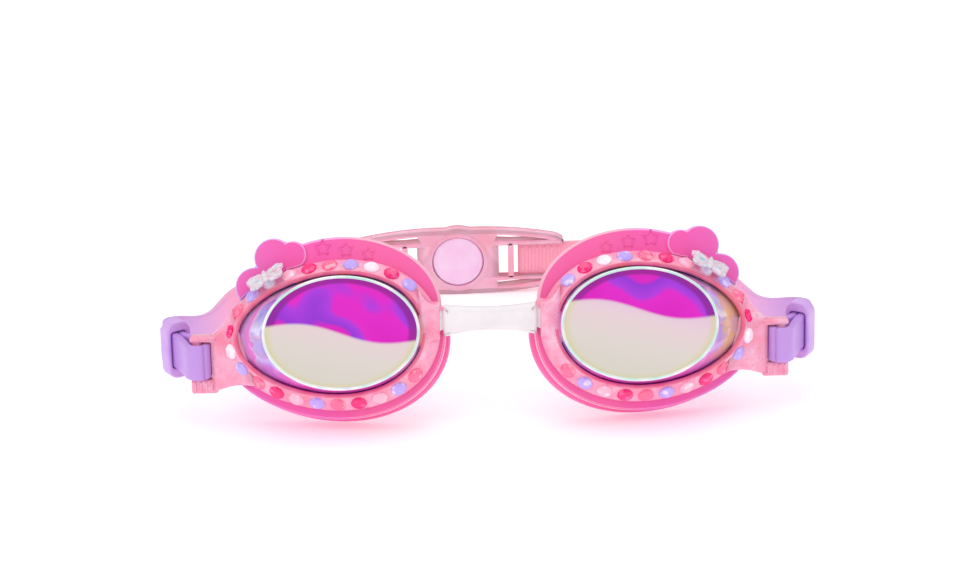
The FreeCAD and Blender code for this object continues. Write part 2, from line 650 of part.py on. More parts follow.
def build_bridge():
    """Waisted band with a tongue and an upright knob at each end, in the bridge frame."""
    body = new_body("nose_bridge")
    band = sketch_on(body, "XZ_Plane", "Band")
    add_rectangle(band, cell("bridge_long"), cell("bridge_high"))
    both_ways(body, band, "Pad", cell("bridge_thick"))
    radius = ("((Sizes.bridge_long / 2)^2 + ((Sizes.bridge_high - Sizes.bridge_waist) / 2)^2)"
              " / (Sizes.bridge_high - Sizes.bridge_waist)")
    for name, sign in (("Above", ""), ("Below", "-")):
        rise = "%s(Sizes.bridge_waist / 2 + %s)" % (sign, radius)
        waist = sketch_on(body, "XZ_Plane", name, ("0", rise, "0"))
        add_circle(waist, radius)
        both_ways(body, waist, "Pocket", "2 * Sizes.bridge_thick")
    for name, sign in (("Right", ""), ("Left", "-")):
        middle = "%s(Sizes.knob_x + Sizes.bridge_long / 2 - 0.5) / 2" % sign
        tongue = sketch_on(body, "XZ_Plane", "Tongue" + name, (middle, "0", "0"))
        add_rectangle(tongue, "Sizes.knob_x - Sizes.bridge_long / 2 + 0.5", cell("tongue_high"))
        both_ways(body, tongue, "Pad", cell("tongue_thick"))
        knob = sketch_on(body, "XY_Plane", "Knob" + name, (sign + "Sizes.knob_x", "0", "0"))
        add_circle(knob, "Sizes.knob_wide / 2")
        both_ways(body, knob, "Pad", cell("knob_high"))
    body.Placement = bridge_frame()
    return body


def build_keeper(side, label):
    """Rounded loop round both strap layers: x along the strap, z across its width."""
    body = new_body(label)
    outer = sketch_on(body, "YZ_Plane", "Outer")
    add_rectangle(outer, "Sizes.keeper_slot + 2 * Sizes.keeper_side",
                  "Sizes.strap_wide + 2 * Sizes.soft_gap + 2 * Sizes.keeper_wall")
    both_ways(body, outer, "Pad", cell("keeper_run"))
    round_edges(body, size("keeper_slot") / 2, lambda edge: abs(edge.tangentAt(0).x) > 0.9)
    slot = sketch_on(body, "YZ_Plane", "Slot")
    add_rectangle(slot, cell("keeper_slot"), "Sizes.strap_wide + 2 * Sizes.soft_gap")
    both_ways(body, slot, "Pocket", "2 * Sizes.keeper_run")
    reach = size("keeper_at")
    x = size("bar_x") + reach * math.cos(SPLAY)
    heading = math.degrees(SPLAY) if side > 0 else 180 - math.degrees(SPLAY)
    own = Placement(Vector(side * x, reach * math.sin(SPLAY), 0), Rotation(Vector(0, 0, 1), heading))
    body.Placement = STRAP_FRAME.multiply(own)
    return body


def build_buckle():
    """Two-window buckle with a round boss, square to the strap, x along its length."""
    body = new_body("rear_buckle")
    plate = sketch_on(body, "XZ_Plane", "Plate")
    end_high = "(Sizes.window_high + 2 * Sizes.buckle_rail)"
    add_rectangle(plate, cell("buckle_long"), end_high)
    both_ways(body, plate, "Pad", cell("buckle_thick"))
    round_edges(body, size("buckle_corner"), lambda edge: abs(edge.tangentAt(0).y) > 0.9)
    shoulder = sketch_on(body, "XZ_Plane", "Shoulder")
    add_rectangle(shoulder, cell("shoulder_long"), "(%s + Sizes.buckle_high) / 2" % end_high)
    both_ways(body, shoulder, "Pad", cell("buckle_thick"))
    boss = sketch_on(body, "XZ_Plane", "Boss")
    add_circle(boss, "Sizes.boss_wide / 2")
    both_ways(body, boss, "Pad", cell("buckle_thick"))
    deep = "(Sizes.badge_thick + Sizes.badge_sink)"
    seat = sketch_on(body, "XZ_Plane", "BadgeSeat", ("0", "0", "(Sizes.buckle_thick - %s) / 2" % deep))
    add_circle(seat, "Sizes.badge_wide / 2 + Sizes.seat_fit")
    both_ways(body, seat, "Pocket", deep)
    window_high = cell("window_high")
    for name, sign in (("Right", ""), ("Left", "-")):
        middle = sign + "(Sizes.window_from + Sizes.window_to) / 2"
        window = sketch_on(body, "XZ_Plane", "Window" + name, (middle, "0", "0"))
        add_rectangle(window, "Sizes.window_to - Sizes.window_from", window_high)
        both_ways(body, window, "Pocket", "2 * Sizes.buckle_thick")
        ending = sign + "(Sizes.buckle_long / 2 + Sizes.window_to) / 2"
        passage = sketch_on(body, "XZ_Plane", "Passage" + name,
                            (ending, "0", "Sizes.end_bar_thick / 2"))
        add_rectangle(passage, "Sizes.buckle_long / 2 - Sizes.window_to + 1", window_high)
        both_ways(body, passage, "Pocket", "Sizes.buckle_thick - Sizes.end_bar_thick")
        across = sign + "(Sizes.cross_bar_at + Sizes.cross_bar_wide / 2)"
        bar = sketch_on(body, "XZ_Plane", "CrossBar" + name,
                        (across, "0", "(Sizes.buckle_thick - Sizes.cross_bar_thick) / 2"))
        add_rectangle(bar, cell("cross_bar_wide"), window_high + " + Sizes.buckle_rail / 2")
        both_ways(body, bar, "Pad", cell("cross_bar_thick"))
    body.Placement = STRAP_FRAME.multiply(Placement(BUCKLE_SPOT, Rotation()))
    return body


def build_badge():
    """Plain round inlay of the buckle's boss."""
    body = new_body("buckle_badge")
    disc = sketch_on(body, "XZ_Plane", "Disc")
    add_circle(disc, "Sizes.badge_wide / 2")
    both_ways(body, disc, "Pad", cell("badge_thick"))
    forward = (size("buckle_thick") - size("badge_thick")) / 2 - size("badge_sink")
    body.Placement = STRAP_FRAME.multiply(Placement(BUCKLE_SPOT - Vector(0, forward, 0), Rotation()))
    return body


# --- the whole object ---------------------------------------------------------------------------

def place(label, shape, placement, side):
    """A sub-part from a right-hand shape, mirrored for the left side."""
    if side < 0:
        shape = shape.mirror(Vector(0, 0, 0), Vector(1, 0, 0))
    item = doc.addObject("Part::Feature", label)
    item.Label = label
    item.Shape = Part.makeCompound(shape.Solids)
    item.Placement = placement
    return item


def build_all():
    """Every sub-part, in a list."""
    items = [build_bridge(), build_buckle(), build_badge()]
    eye_shapes = {"frame": frame_shape(), "lens": lens_shape(), "gasket": gasket_shape(),
                  "charm": charm_shape()}
    for colour in STONE_COLOURS:
        eye_shapes["stones_" + colour] = stones_of(colour)
    for side, word in ((1, "right"), (-1, "left")):
        for name, shape in eye_shapes.items():
            items.append(place("%s_%s" % (name, word), shape, eye_frame(side), side))
        strap = strap_shape(size("strap_tip") - side * size("buckle_shift"))
        items.append(place("strap_" + word, strap, STRAP_FRAME, side))
        items.append(build_keeper(side, "strap_keeper_" + word))
    return items


def check(item):
    """Stop if a sub-part failed, is empty or isn't a sound solid."""
    shape = item.Shape
    if "Invalid" in item.State or "Error" in item.State:
        raise RuntimeError(item.Label + " failed to build: " + ", ".join(item.State))
    if shape.isNull() or not shape.isValid() or not shape.Solids:
        raise RuntimeError(item.Label + " has no sound solid")


SUB_PARTS = build_all()
doc.recompute()
for thing in doc.Objects:
    if "Invalid" in thing.State or "Error" in thing.State:
        raise RuntimeError(thing.Name + " failed to build")
for sub_part in SUB_PARTS:
    check(sub_part)
os.makedirs("parts", exist_ok=True)
for sub_part in SUB_PARTS:
    sub_part.Shape.exportStep("parts/%s.step" % sub_part.Label)
    box = sub_part.Shape.BoundBox
    print("%-22s solids %2d  x %6.1f %6.1f  y %6.1f %6.1f  z %6.1f %6.1f" % (
        sub_part.Label, len(sub_part.Shape.Solids), box.XMin, box.XMax, box.YMin, box.YMax,
        box.ZMin, box.ZMax))
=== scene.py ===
import json
import math

import bmesh
import bpy
from mathutils import Matrix, Vector


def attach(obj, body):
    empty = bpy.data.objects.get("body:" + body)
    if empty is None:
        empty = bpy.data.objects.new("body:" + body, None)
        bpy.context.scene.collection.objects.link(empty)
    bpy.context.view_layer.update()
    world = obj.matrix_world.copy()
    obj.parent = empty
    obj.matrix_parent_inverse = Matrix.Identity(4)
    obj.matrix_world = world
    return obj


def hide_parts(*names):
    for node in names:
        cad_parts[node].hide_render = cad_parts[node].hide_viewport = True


# Children's swim goggles on a pale floor. Sizes are in millimetres until a mesh is made, and the
# places of the eyepieces, bridge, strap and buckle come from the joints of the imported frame.

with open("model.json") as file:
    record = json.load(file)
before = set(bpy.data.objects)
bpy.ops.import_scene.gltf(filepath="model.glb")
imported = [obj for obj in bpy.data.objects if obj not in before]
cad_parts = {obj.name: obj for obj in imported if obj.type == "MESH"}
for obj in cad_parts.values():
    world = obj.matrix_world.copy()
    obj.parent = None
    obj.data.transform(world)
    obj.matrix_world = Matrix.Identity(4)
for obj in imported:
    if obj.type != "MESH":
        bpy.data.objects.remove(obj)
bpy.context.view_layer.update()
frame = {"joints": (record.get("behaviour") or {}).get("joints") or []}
MM = 0.001
SIDES = (("right", 1), ("left", -1))

# --- driving sizes, as in the part's own design -------------------------------------------------

LEAN = math.radians(23.0)
YAW = math.radians(8.5)
EYE_X = 36.6
OPENING_LONG, OPENING_HIGH, EGG_TAPER = 46.0, 29.2, 0.12
OPENING_SHIFT, LENS_PROUD = 3.0, 5.4
LENS_LONG, LENS_HIGH = 38.7, 28.2
RIM_FLAT, BAND_RUN, BAND_DROP, RIM_EDGE = 1.1, 2.9, 3.7, 0.9
RING_OUT, RING_BACK = RIM_FLAT + BAND_RUN, BAND_DROP + RIM_EDGE
STRAP_WIDE, STRAP_THICK = 9.0, 1.8
BAR_RADIUS, BAR_BACK, BEND_RADIUS = 1.3, 11.0, 12.0
SPLAY, SIDE_HEADING = math.radians(58.0), math.radians(104.0)
DOUBLE_RUN, TAIL_END, SIDE_RUN, STRAP_TIP = 15.0, 15.8, 50.0, 16.6
BRIDGE_LONG, BRIDGE_UP, BRIDGE_HALF_HIGH, KNOB_RADIUS = 23.0, 0.9, 4.1, 1.3
BUCKLE_SHIFT, SLIDE_ROOM, BUCKLE_LONG, BUCKLE_HIGH = 6.0, 2.0, 60.0, 18.6
KEEPER_AT, KEEPER_RUN = 11.1, 3.8


def hinge(name):
    """A joint's place in millimetres."""
    joint = next(item for item in frame["joints"] if item["name"] == name)
    return Vector(joint["pos_m"]) / MM


BAR = hinge("strap_right_turn")
KNOB = hinge("eye_right_flex")
BAR_X, KNOB_X = BAR.x, KNOB.x
EYE_ORIGIN = Vector((EYE_X, BAR.y - BAR_BACK, KNOB.z - BRIDGE_UP))

EYE_FRAME = Matrix.Translation(EYE_ORIGIN) @ Matrix.Rotation(-LEAN, 4, "X")
BRIDGE_FRAME = Matrix.Translation((0, KNOB.y, KNOB.z))
STRAP_FRAME = Matrix.Translation((0, BAR.y, BAR.z))
MIRROR = Matrix.Scale(-1, 4, (1, 0, 0))


def egg(angle, grow):
    """A point of the eyepiece outline: an oval drawn in at its outer end, moved out by grow."""
    p = OPENING_LONG / 2 * math.cos(angle)
    w = OPENING_HIGH / 2 * math.sin(angle) * (1 - EGG_TAPER * math.cos(angle))
    dp = -OPENING_LONG / 2 * math.sin(angle)
    dw = OPENING_HIGH / 2 * (math.cos(angle) - EGG_TAPER * math.cos(2 * angle))
    length = math.hypot(dp, dw)
    return p + grow * dw / length, w - grow * dp / length


RIM_PLANE = Matrix.Translation((OPENING_SHIFT, LENS_PROUD, 0)) @ Matrix.Rotation(YAW, 4, "Z")


def rim(p, q, w):
    """A point p outward, q deep and w up in the yawed plane of the rim, in the eye frame."""
    return RIM_PLANE @ Vector((p, q, w))


# --- mesh helpers -------------------------------------------------------------------------------

def new_piece(name, bm, material, smooth=True):
    """An object from a bmesh in millimetres, in the shared frame."""
    bmesh.ops.recalc_face_normals(bm, faces=bm.faces)
    bmesh.ops.scale(bm, vec=(MM, MM, MM), verts=bm.verts)
    mesh = bpy.data.meshes.new(name)
    bm.to_mesh(mesh)
    bm.free()
    for face in mesh.polygons:
        face.use_smooth = smooth
    piece = bpy.data.objects.new(name, mesh)
    bpy.context.scene.collection.objects.link(piece)
    mesh.materials.append(material)
    return piece


def skin(bm, rings, closed_ring=True, closed_run=False, caps=False):
    """Faces between successive rings of points."""
    rows = [[bm.verts.new(point) for point in ring] for ring in rings]
    count = len(rows[0])
    pairs = list(zip(rows, rows[1:])) + ([(rows[-1], rows[0])] if closed_run else [])
    for before, after in pairs:
        for index in range(count if closed_ring else count - 1):
            following = (index + 1) % count
            bm.faces.new((before[index], before[following], after[following], after[index]))
    if caps:
        bm.faces.new(rows[0])
        bm.faces.new(rows[-1])
    return rows


def rounded_rectangle(wide, high, radius, steps=5):
    """Points of a rectangle with round corners, about its middle."""
    points = []
    for corner, (sx, sy) in enumerate(((1, 1), (-1, 1), (-1, -1), (1, -1))):
        for step in range(steps + 1):
            angle = math.pi / 2 * (corner + step / steps)
            points.append((sx * (wide / 2 - radius) + radius * math.cos(angle),
                           sy * (high / 2 - radius) + radius * math.sin(angle)))
    return points


def ellipse(across, up, count):
    """Points of an ellipse with these half widths, about its middle."""
    return [(across * math.cos(2 * math.pi * step / count), up * math.sin(2 * math.pi * step / count))
            for step in range(count)]


def transform(bm, matrix, side):
    """Move a bmesh by a matrix, then mirror it for the left side."""
    bm.transform(matrix)
    if side < 0:
        bm.transform(MIRROR)


def add_uv(piece, matrix, side, handed=True, span=64.0):
    """A map of the eye frame's x and z about the lens centre; x runs outward if handed, else right."""
    layer = piece.data.uv_layers.new(name="eye")
    back = matrix.inverted()
    for loop in piece.data.loops:
        point = piece.data.vertices[loop.vertex_index].co / MM
        local = back @ Vector((point.x * side, point.y, point.z))
        across = local.x if handed else local.x * side
        layer.data[loop.index].uv = (0.5 + across / span, 0.5 + local.z / span)


# --- materials ----------------------------------------------------------------------------------

class Nodes:
    """A small builder for one material's node tree."""

    def __init__(self, name):
        self.material = bpy.data.materials.new(name)
        self.material.use_nodes = True
        self.tree = self.material.node_tree
        self.shader = self.tree.nodes["Principled BSDF"]
        self.where = self.tree.nodes.new("ShaderNodeTexCoord").outputs["Object"]

    def set(self, **values):
        """Set sockets of the shader; underscores stand for spaces."""
        for name, value in values.items():
            self.shader.inputs[name.replace("_", " ")].default_value = value

    def link(self, output, target):
        self.tree.links.new(output, self.shader.inputs[target] if isinstance(target, str) else target)

    def noise(self, scale, detail=2.0, rough=0.5):
        node = self.tree.nodes.new("ShaderNodeTexNoise")
        node.inputs["Scale"].default_value = scale
        node.inputs["Detail"].default_value = detail
        node.inputs["Roughness"].default_value = rough
        self.tree.links.new(self.where, node.inputs["Vector"])
        return node.outputs["Fac"]

    def cells(self, scale):
        node = self.tree.nodes.new("ShaderNodeTexVoronoi")
        node.inputs["Scale"].default_value = scale
        self.tree.links.new(self.where, node.inputs["Vector"])
        return node

    def ramp(self, value, stops, kind="LINEAR"):
        node = self.tree.nodes.new("ShaderNodeValToRGB")
        node.color_ramp.interpolation = kind
        elements = node.color_ramp.elements
        elements[0].position, elements[1].position = stops[0][0], stops[-1][0]
        elements[0].color, elements[1].color = (*stops[0][1], 1), (*stops[-1][1], 1)
        for place, colour in stops[1:-1]:
            elements.new(place).color = (*colour, 1)
        self.tree.links.new(value, node.inputs["Fac"])
        return node.outputs["Color"]

    def mix(self, factor, first, second):
        node = self.tree.nodes.new("ShaderNodeMix")
        node.data_type = "RGBA"
        for socket, value in ((node.inputs[0], factor), (node.inputs[6], first), (node.inputs[7], second)):
            if isinstance(value, (int, float)):
                socket.default_value = value
            elif isinstance(value, tuple):
                socket.default_value = (*value, 1)
            else:
                self.tree.links.new(value, socket)
        return node.outputs[2]

    def math(self, operation, first, second=0.0, third=0.0):
        node = self.tree.nodes.new("ShaderNodeMath")
        node.operation = operation
        for socket, value in zip(node.inputs, (first, second, third)):
            if isinstance(value, (int, float)):
                socket.default_value = value
            else:
                self.tree.links.new(value, socket)
        return node.outputs[0]

    def parts(self, vector=None):
        """The X, Y and Z of the object coordinates, or of another vector."""
        node = self.tree.nodes.new("ShaderNodeSeparateXYZ")
        self.tree.links.new(vector or self.where, node.inputs[0])
        return node.outputs

    def scaled(self, value, low, high):
        """A value from low to high, brought to 0 to 1."""
        node = self.tree.nodes.new("ShaderNodeMapRange")
        node.inputs["From Min"].default_value = low
        node.inputs["From Max"].default_value = high
        self.tree.links.new(value, node.inputs["Value"])
        return node.outputs[0]

    def bump(self, height, strength, distance=0.0002):
        node = self.tree.nodes.new("ShaderNodeBump")
        node.inputs["Strength"].default_value = strength
        node.inputs["Distance"].default_value = distance
        self.tree.links.new(height, node.inputs["Height"])
        self.link(node.outputs["Normal"], "Normal")


def linear(red, green, blue):
    """A colour given as 0 to 255 screen values."""
    def one(value):
        value /= 255
        return value / 12.92 if value <= 0.04045 else ((value + 0.055) / 1.055) ** 2.4
    return one(red), one(green), one(blue)


SALMON = linear(255, 186, 208)
PINK = linear(255, 168, 232)
LILAC = linear(216, 178, 248)


def silicone(name):
    """Soft silicone: a satin coat, a little light let in, and a fine skin."""
    nodes = Nodes(name)
    nodes.set(Roughness=0.38, Coat_Weight=0.12, Coat_Roughness=0.25, Subsurface_Weight=0.04,
              Subsurface_Scale=0.002, Specular_IOR_Level=0.45)
    nodes.shader.inputs["Subsurface Radius"].default_value = (1.0, 0.45, 0.55)
    rough = nodes.ramp(nodes.noise(900, 3), [(0.3, (0.32, 0.32, 0.32)), (0.7, (0.46, 0.46, 0.46))])
    nodes.link(rough, "Roughness")
    nodes.bump(nodes.noise(2600, 2), 0.12, 0.00004)
    return nodes


def make_gasket_material():
    """Salmon pink at the nose, through pink, to lilac; washed with hot pink where the map is low."""
    nodes = silicone("gasket_silicone")
    x = nodes.math("ABSOLUTE", nodes.parts()[0])
    wander = nodes.math("MULTIPLY", nodes.math("SUBTRACT", nodes.noise(28, 2), 0.5), 0.012)
    place = nodes.scaled(nodes.math("ADD", x, wander), 0.012, 0.066)
    colour = nodes.ramp(place, [(0.0, SALMON), (0.33, SALMON), (0.48, PINK), (0.68, PINK), (0.85, LILAC),
                                (1.0, LILAC)])
    deep = nodes.scaled(nodes.parts(nodes.tree.nodes["Texture Coordinate"].outputs["UV"])[1], 0.22, 0.08)
    colour = nodes.mix(deep, colour, nodes.mix(0.75, colour, linear(255, 45, 165)))
    nodes.link(colour, "Base Color")
    return nodes.material


def make_strap_material():
    """Lilac at the sides, salmon pink behind the head."""
    nodes = silicone("strap_silicone")
    place = nodes.scaled(nodes.parts()[1], -0.03, 0.05)
    wander = nodes.math("MULTIPLY", nodes.math("SUBTRACT", nodes.noise(40, 2), 0.5), 0.12)
    place = nodes.math("ADD", place, wander)
    colour = nodes.ramp(place, [(0.0, linear(200, 152, 232)), (0.35, linear(212, 158, 236)),
                                (0.75, linear(250, 172, 214)), (1.0, linear(255, 168, 190))])
    nodes.link(colour, "Base Color")
    return nodes.material


def make_keeper_material():
    """Slightly paler lilac, with faint mould clouding."""
    nodes = silicone("keeper_silicone")
    nodes.link(nodes.ramp(nodes.noise(160, 3), [(0.3, linear(206, 160, 236)), (0.7, linear(222, 180, 242))]),
               "Base Color")
    return nodes.material


def make_bridge_material():
    """White silicone with a faint warm cast."""
    nodes = silicone("bridge_silicone")
    nodes.link(nodes.ramp(nodes.noise(120, 3), [(0.3, linear(238, 230, 234)), (0.7, linear(248, 243, 246))]),
               "Base Color")
    return nodes.material


def make_frame_material():
    """Translucent pink plastic with suspended glitter."""
    nodes = Nodes("frame_glitter")
    nodes.set(Roughness=0.16, Coat_Weight=0.6, Coat_Roughness=0.05, Subsurface_Weight=0.05,
              Subsurface_Scale=0.003, IOR=1.46)
    nodes.shader.inputs["Subsurface Radius"].default_value = (1.0, 0.35, 0.5)
    cloud = nodes.ramp(nodes.noise(210, 4, 0.6), [(0.3, linear(255, 138, 172)), (0.55, linear(255, 170, 202)),
                                                  (0.75, linear(255, 208, 224))])
    flakes = nodes.cells(1900)
    close = nodes.math("LESS_THAN", flakes.outputs["Distance"], 0.20)
    pick = nodes.parts(flakes.outputs["Color"])
    chosen = nodes.math("MULTIPLY", close, nodes.math("GREATER_THAN", pick[0], 0.80))
    tint = nodes.ramp(pick[1], [(0.0, linear(214, 120, 66)), (0.25, linear(255, 232, 250)),
                                (0.55, linear(255, 84, 150)), (0.8, linear(198, 150, 255))], "CONSTANT")
    nodes.link(nodes.mix(chosen, cloud, tint), "Base Color")
    nodes.link(nodes.math("MULTIPLY", chosen, 0.5), "Metallic")
    nodes.link(nodes.ramp(nodes.noise(700, 2), [(0.3, (0.10, 0.10, 0.10)), (0.7, (0.22, 0.22, 0.22))]),
               "Roughness")
    nodes.bump(nodes.noise(420, 2), 0.10, 0.0002)
    return nodes.material


def make_rim_material():
    """The rim's inner edge: thicker plastic looks a deeper rose, deepened further as painted shade beside the
    lens.
    """
    nodes = Nodes("rim_rose")
    nodes.set(Roughness=0.14, Coat_Weight=0.6, Coat_Roughness=0.05, Subsurface_Weight=0.05,
              Subsurface_Scale=0.002)
    nodes.link(nodes.ramp(nodes.noise(260, 3), [(0.3, linear(246, 100, 138)), (0.7, linear(252, 134, 168))]),
               "Base Color")
    nodes.bump(nodes.noise(500, 2), 0.08)
    return nodes.material


def make_lens_material():
    """Mirror coating: magenta and violet above; below, a painted reflection in pale cream, in soft sweeping
    bands.
    """
    nodes = Nodes("lens_mirror")
    nodes.set(Roughness=0.06, Coat_Weight=0.5, Coat_Roughness=0.02, IOR=1.5, Metallic=0.35)
    uv = nodes.parts(nodes.tree.nodes["Texture Coordinate"].outputs["UV"])
    across = nodes.math("MULTIPLY", nodes.math("SUBTRACT", uv[0], 0.5), 64.0)
    above = nodes.math("MULTIPLY", nodes.math("SUBTRACT", uv[1], 0.5), 64.0)
    # The sweeping line where the painted reflection below begins; it sits higher on the right eyepiece.
    swell = nodes.math("MULTIPLY", nodes.math("SINE", nodes.math("MULTIPLY", across, 0.175)), -1.4)
    slope = nodes.math("MULTIPLY_ADD", across, -0.126, -0.2)
    lift = nodes.math("MULTIPLY", nodes.math("GREATER_THAN", nodes.parts()[0], 0.0), 3.8)
    edge = nodes.math("SUBTRACT", above, nodes.math("ADD", nodes.math("ADD", swell, slope), lift))
    upper = nodes.ramp(nodes.noise(60, 1), [(0.36, linear(238, 0, 208)), (0.47, linear(244, 18, 216)),
                                            (0.50, linear(188, 52, 238)), (0.58, linear(160, 44, 230)),
                                            (0.62, linear(236, 4, 206))])
    ring = nodes.math("SQRT", nodes.math("ADD", nodes.math("POWER", nodes.math("DIVIDE", across, 19.3), 2.0),
                                         nodes.math("POWER", nodes.math("DIVIDE", above, 14.1), 2.0)))
    upper = nodes.mix(nodes.math("MULTIPLY", nodes.scaled(ring, 0.84, 0.88), 0.8), upper, linear(150, 0, 150))
    # The pale cream lower part, yellowish towards its edge, is a painted reflection.
    rise = nodes.scaled(nodes.math("ADD", above, nodes.math("MULTIPLY", across, 0.25)), -14.0, 6.0)
    lower = nodes.ramp(rise, [(0.0, linear(232, 226, 214)), (0.4, linear(240, 230, 222)),
                              (0.75, linear(250, 224, 232)), (1.0, linear(248, 208, 240))])
    lower = nodes.mix(nodes.scaled(ring, 0.86, 0.97), lower, linear(236, 226, 176))
    colour = nodes.mix(nodes.scaled(edge, -0.35, 0.35), lower, upper)
    nodes.link(colour, "Base Color")
    nodes.link(nodes.ramp(nodes.noise(300, 2), [(0.3, (0.04, 0.04, 0.04)), (0.7, (0.09, 0.09, 0.09))]),
               "Roughness")
    return nodes.material


def make_facet_material():
    """The lens's clear sloping side: iridescent blue, violet, white and a sliver of amber."""
    nodes = Nodes("lens_side")
    nodes.set(Roughness=0.05, Coat_Weight=0.8, Coat_Roughness=0.02, IOR=1.5, Metallic=0.25)
    uv = nodes.parts(nodes.tree.nodes["Texture Coordinate"].outputs["UV"])
    wander = nodes.math("MULTIPLY", nodes.noise(95, 2), 1.1)
    streak = nodes.math("ADD", nodes.math("MULTIPLY", uv[0], 2.4), wander)
    bands = nodes.ramp(nodes.math("FRACT", streak), [
        (0.0, linear(226, 214, 250)), (0.18, linear(150, 130, 240)), (0.34, linear(232, 222, 250)),
        (0.50, linear(196, 168, 246)), (0.66, linear(236, 206, 150)), (0.78, linear(206, 190, 248)),
        (0.92, linear(236, 150, 240))])
    nodes.link(nodes.mix(nodes.scaled(uv[1], 0.42, 0.30), bands, linear(226, 96, 236)), "Base Color")
    nodes.link(nodes.ramp(nodes.noise(300, 2), [(0.3, (0.03, 0.03, 0.03)), (0.7, (0.08, 0.08, 0.08))]),
               "Roughness")
    return nodes.material


def make_edge_material():
    """The lens's polished front edge, nearly white with green and blue glints."""
    nodes = Nodes("lens_edge")
    nodes.set(Roughness=0.05, Coat_Weight=0.7, Coat_Roughness=0.02, Metallic=0.2)
    nodes.link(nodes.ramp(nodes.noise(110, 2), [(0.25, linear(250, 246, 255)), (0.45, linear(206, 240, 232)),
                                                (0.6, linear(252, 250, 252)), (0.75, linear(200, 214, 250))]),
               "Base Color")
    return nodes.material


def make_stone_material(name, colour, painted_glint):
    """A faceted acrylic stone: clear coat over a coloured body, lighter painted highlights and a faint
    painted glow.
    """
    nodes = Nodes("stone_" + name)
    # Emission gives each stone a faint painted glow in its own colour.
    nodes.set(Roughness=0.06, Coat_Weight=0.5, Coat_Roughness=0.02, IOR=1.5, Emission_Strength=0.16)
    # The lighter colour comes in as painted highlights, standing for facets that catch the light.
    tone_and_painted_glint = nodes.ramp(nodes.noise(520, 1), [(0.3, colour), (0.55, colour), (0.72, painted_glint)])
    nodes.link(tone_and_painted_glint, "Base Color")
    nodes.link(tone_and_painted_glint, "Emission Color")
    nodes.link(nodes.ramp(nodes.noise(900, 1), [(0.3, (0.03, 0.03, 0.03)), (0.7, (0.12, 0.12, 0.12))]),
               "Roughness")
    return nodes.material


def make_charm_material():
    """Opal film on clear plastic: white with blue, green and pink clouds."""
    nodes = Nodes("charm_opal")
    nodes.set(Roughness=0.15, Coat_Weight=0.9, Coat_Roughness=0.04, Metallic=0.15)
    nodes.link(nodes.ramp(nodes.noise(420, 3), [(0.3, linear(200, 226, 244)), (0.42, linear(240, 244, 250)),
                                                (0.52, linear(250, 206, 226)), (0.62, linear(214, 244, 232)),
                                                (0.75, linear(232, 220, 250))]), "Base Color")
    nodes.bump(nodes.noise(800, 2), 0.3, 0.0002)
    return nodes.material


def make_buckle_material():
    """Clear salmon-pink plastic."""
    nodes = Nodes("buckle_clear")
    nodes.set(Roughness=0.15, Coat_Weight=0.4, Coat_Roughness=0.06, IOR=1.46, Transmission_Weight=0.12,
              Subsurface_Weight=0.05, Subsurface_Scale=0.003)
    nodes.link(nodes.ramp(nodes.noise(120, 3), [(0.3, linear(255, 170, 190)), (0.55, linear(255, 186, 212)),
                                                (0.75, linear(255, 204, 222))]), "Base Color")
    nodes.bump(nodes.noise(300, 2), 0.08)
    return nodes.material


def make_badge_material():
    """Pale pink inlay with a fine satin grain."""
    nodes = Nodes("badge_pale")
    nodes.set(Roughness=0.3, Coat_Weight=0.3, Coat_Roughness=0.1, Subsurface_Weight=0.3,
              Subsurface_Scale=0.002)
    nodes.link(nodes.ramp(nodes.noise(200, 3), [(0.3, linear(250, 204, 238)), (0.7, linear(253, 220, 246))]),
               "Base Color")
    nodes.bump(nodes.noise(1500, 2), 0.06, 0.00005)
    return nodes.material


GASKET = make_gasket_material()
STRAP = make_strap_material()
KEEPER = make_keeper_material()
BRIDGE = make_bridge_material()
GLITTER = make_frame_material()
RIM = make_rim_material()
MIRROR_COAT = make_lens_material()
FACET = make_facet_material()
EDGE = make_edge_material()
CHARM = make_charm_material()
BUCKLE = make_buckle_material()
BADGE = make_badge_material()
# Each stone: its body colour, then the lighter colour of its painted highlights.
STONES = {
    "hot_pink": make_stone_material("hot_pink", linear(238, 0, 112), linear(255, 90, 160)),
    "rose": make_stone_material("rose", linear(255, 104, 148), linear(255, 168, 186)),
    "pale_pink": make_stone_material("pale_pink", linear(255, 178, 200), linear(255, 222, 232)),
    "lilac": make_stone_material("lilac", linear(186, 160, 240), linear(232, 222, 255)),
    "clear": make_stone_material("clear", linear(252, 226, 238), linear(255, 250, 255)),
}


# --- shapes shared by several pieces ------------------------------------------------------------

def cut_plate(outline, holes, thick, bevel, rounds=3):
    """A flat plate with round edges and holes, in the XY plane about z = 0, as a bmesh."""
    curve = bpy.data.curves.new("plate", "CURVE")
    curve.dimensions = "2D"
    curve.fill_mode = "BOTH"
    curve.extrude = thick / 2 - bevel
    curve.bevel_depth = bevel
    curve.bevel_resolution = rounds
    curve.offset = -bevel
    for points in [outline] + list(holes):
        spline = curve.splines.new("POLY")
        spline.points.add(len(points) - 1)
        for place, point in zip(spline.points, points):
            place.co = (point[0], point[1], 0, 1)
        spline.use_cyclic_u = True
    holder = bpy.data.objects.new("plate", curve)
    mesh = bpy.data.meshes.new_from_object(holder)
    bm = bmesh.new()
    bm.from_mesh(mesh)
    bpy.data.objects.remove(holder)
    bpy.data.curves.remove(curve)
    bpy.data.meshes.remove(mesh)
    bmesh.ops.remove_doubles(bm, verts=bm.verts, dist=0.002)
    return bm


def tube(points, radius, around=8, closed=True):
    """A round wire through the points, lying in the XY plane, as a bmesh."""
    bm = bmesh.new()
    rings = []
    count = len(points)
    for index, point in enumerate(points):
        after = Vector(points[(index + 1) % count if closed else min(index + 1, count - 1)])
        before = Vector(points[index - 1 if closed else max(index - 1, 0)])
        along = (after - before).normalized()
        side = Vector((-along.y, along.x, 0))
        ring = []
        for step in range(around):
            angle = 2 * math.pi * step / around
            ring.append(Vector(point) + side * radius * math.cos(angle)
                        + Vector((0, 0, radius * math.sin(angle))))
        rings.append(ring)
    skin(bm, rings, closed_run=closed, caps=not closed)
    return bm


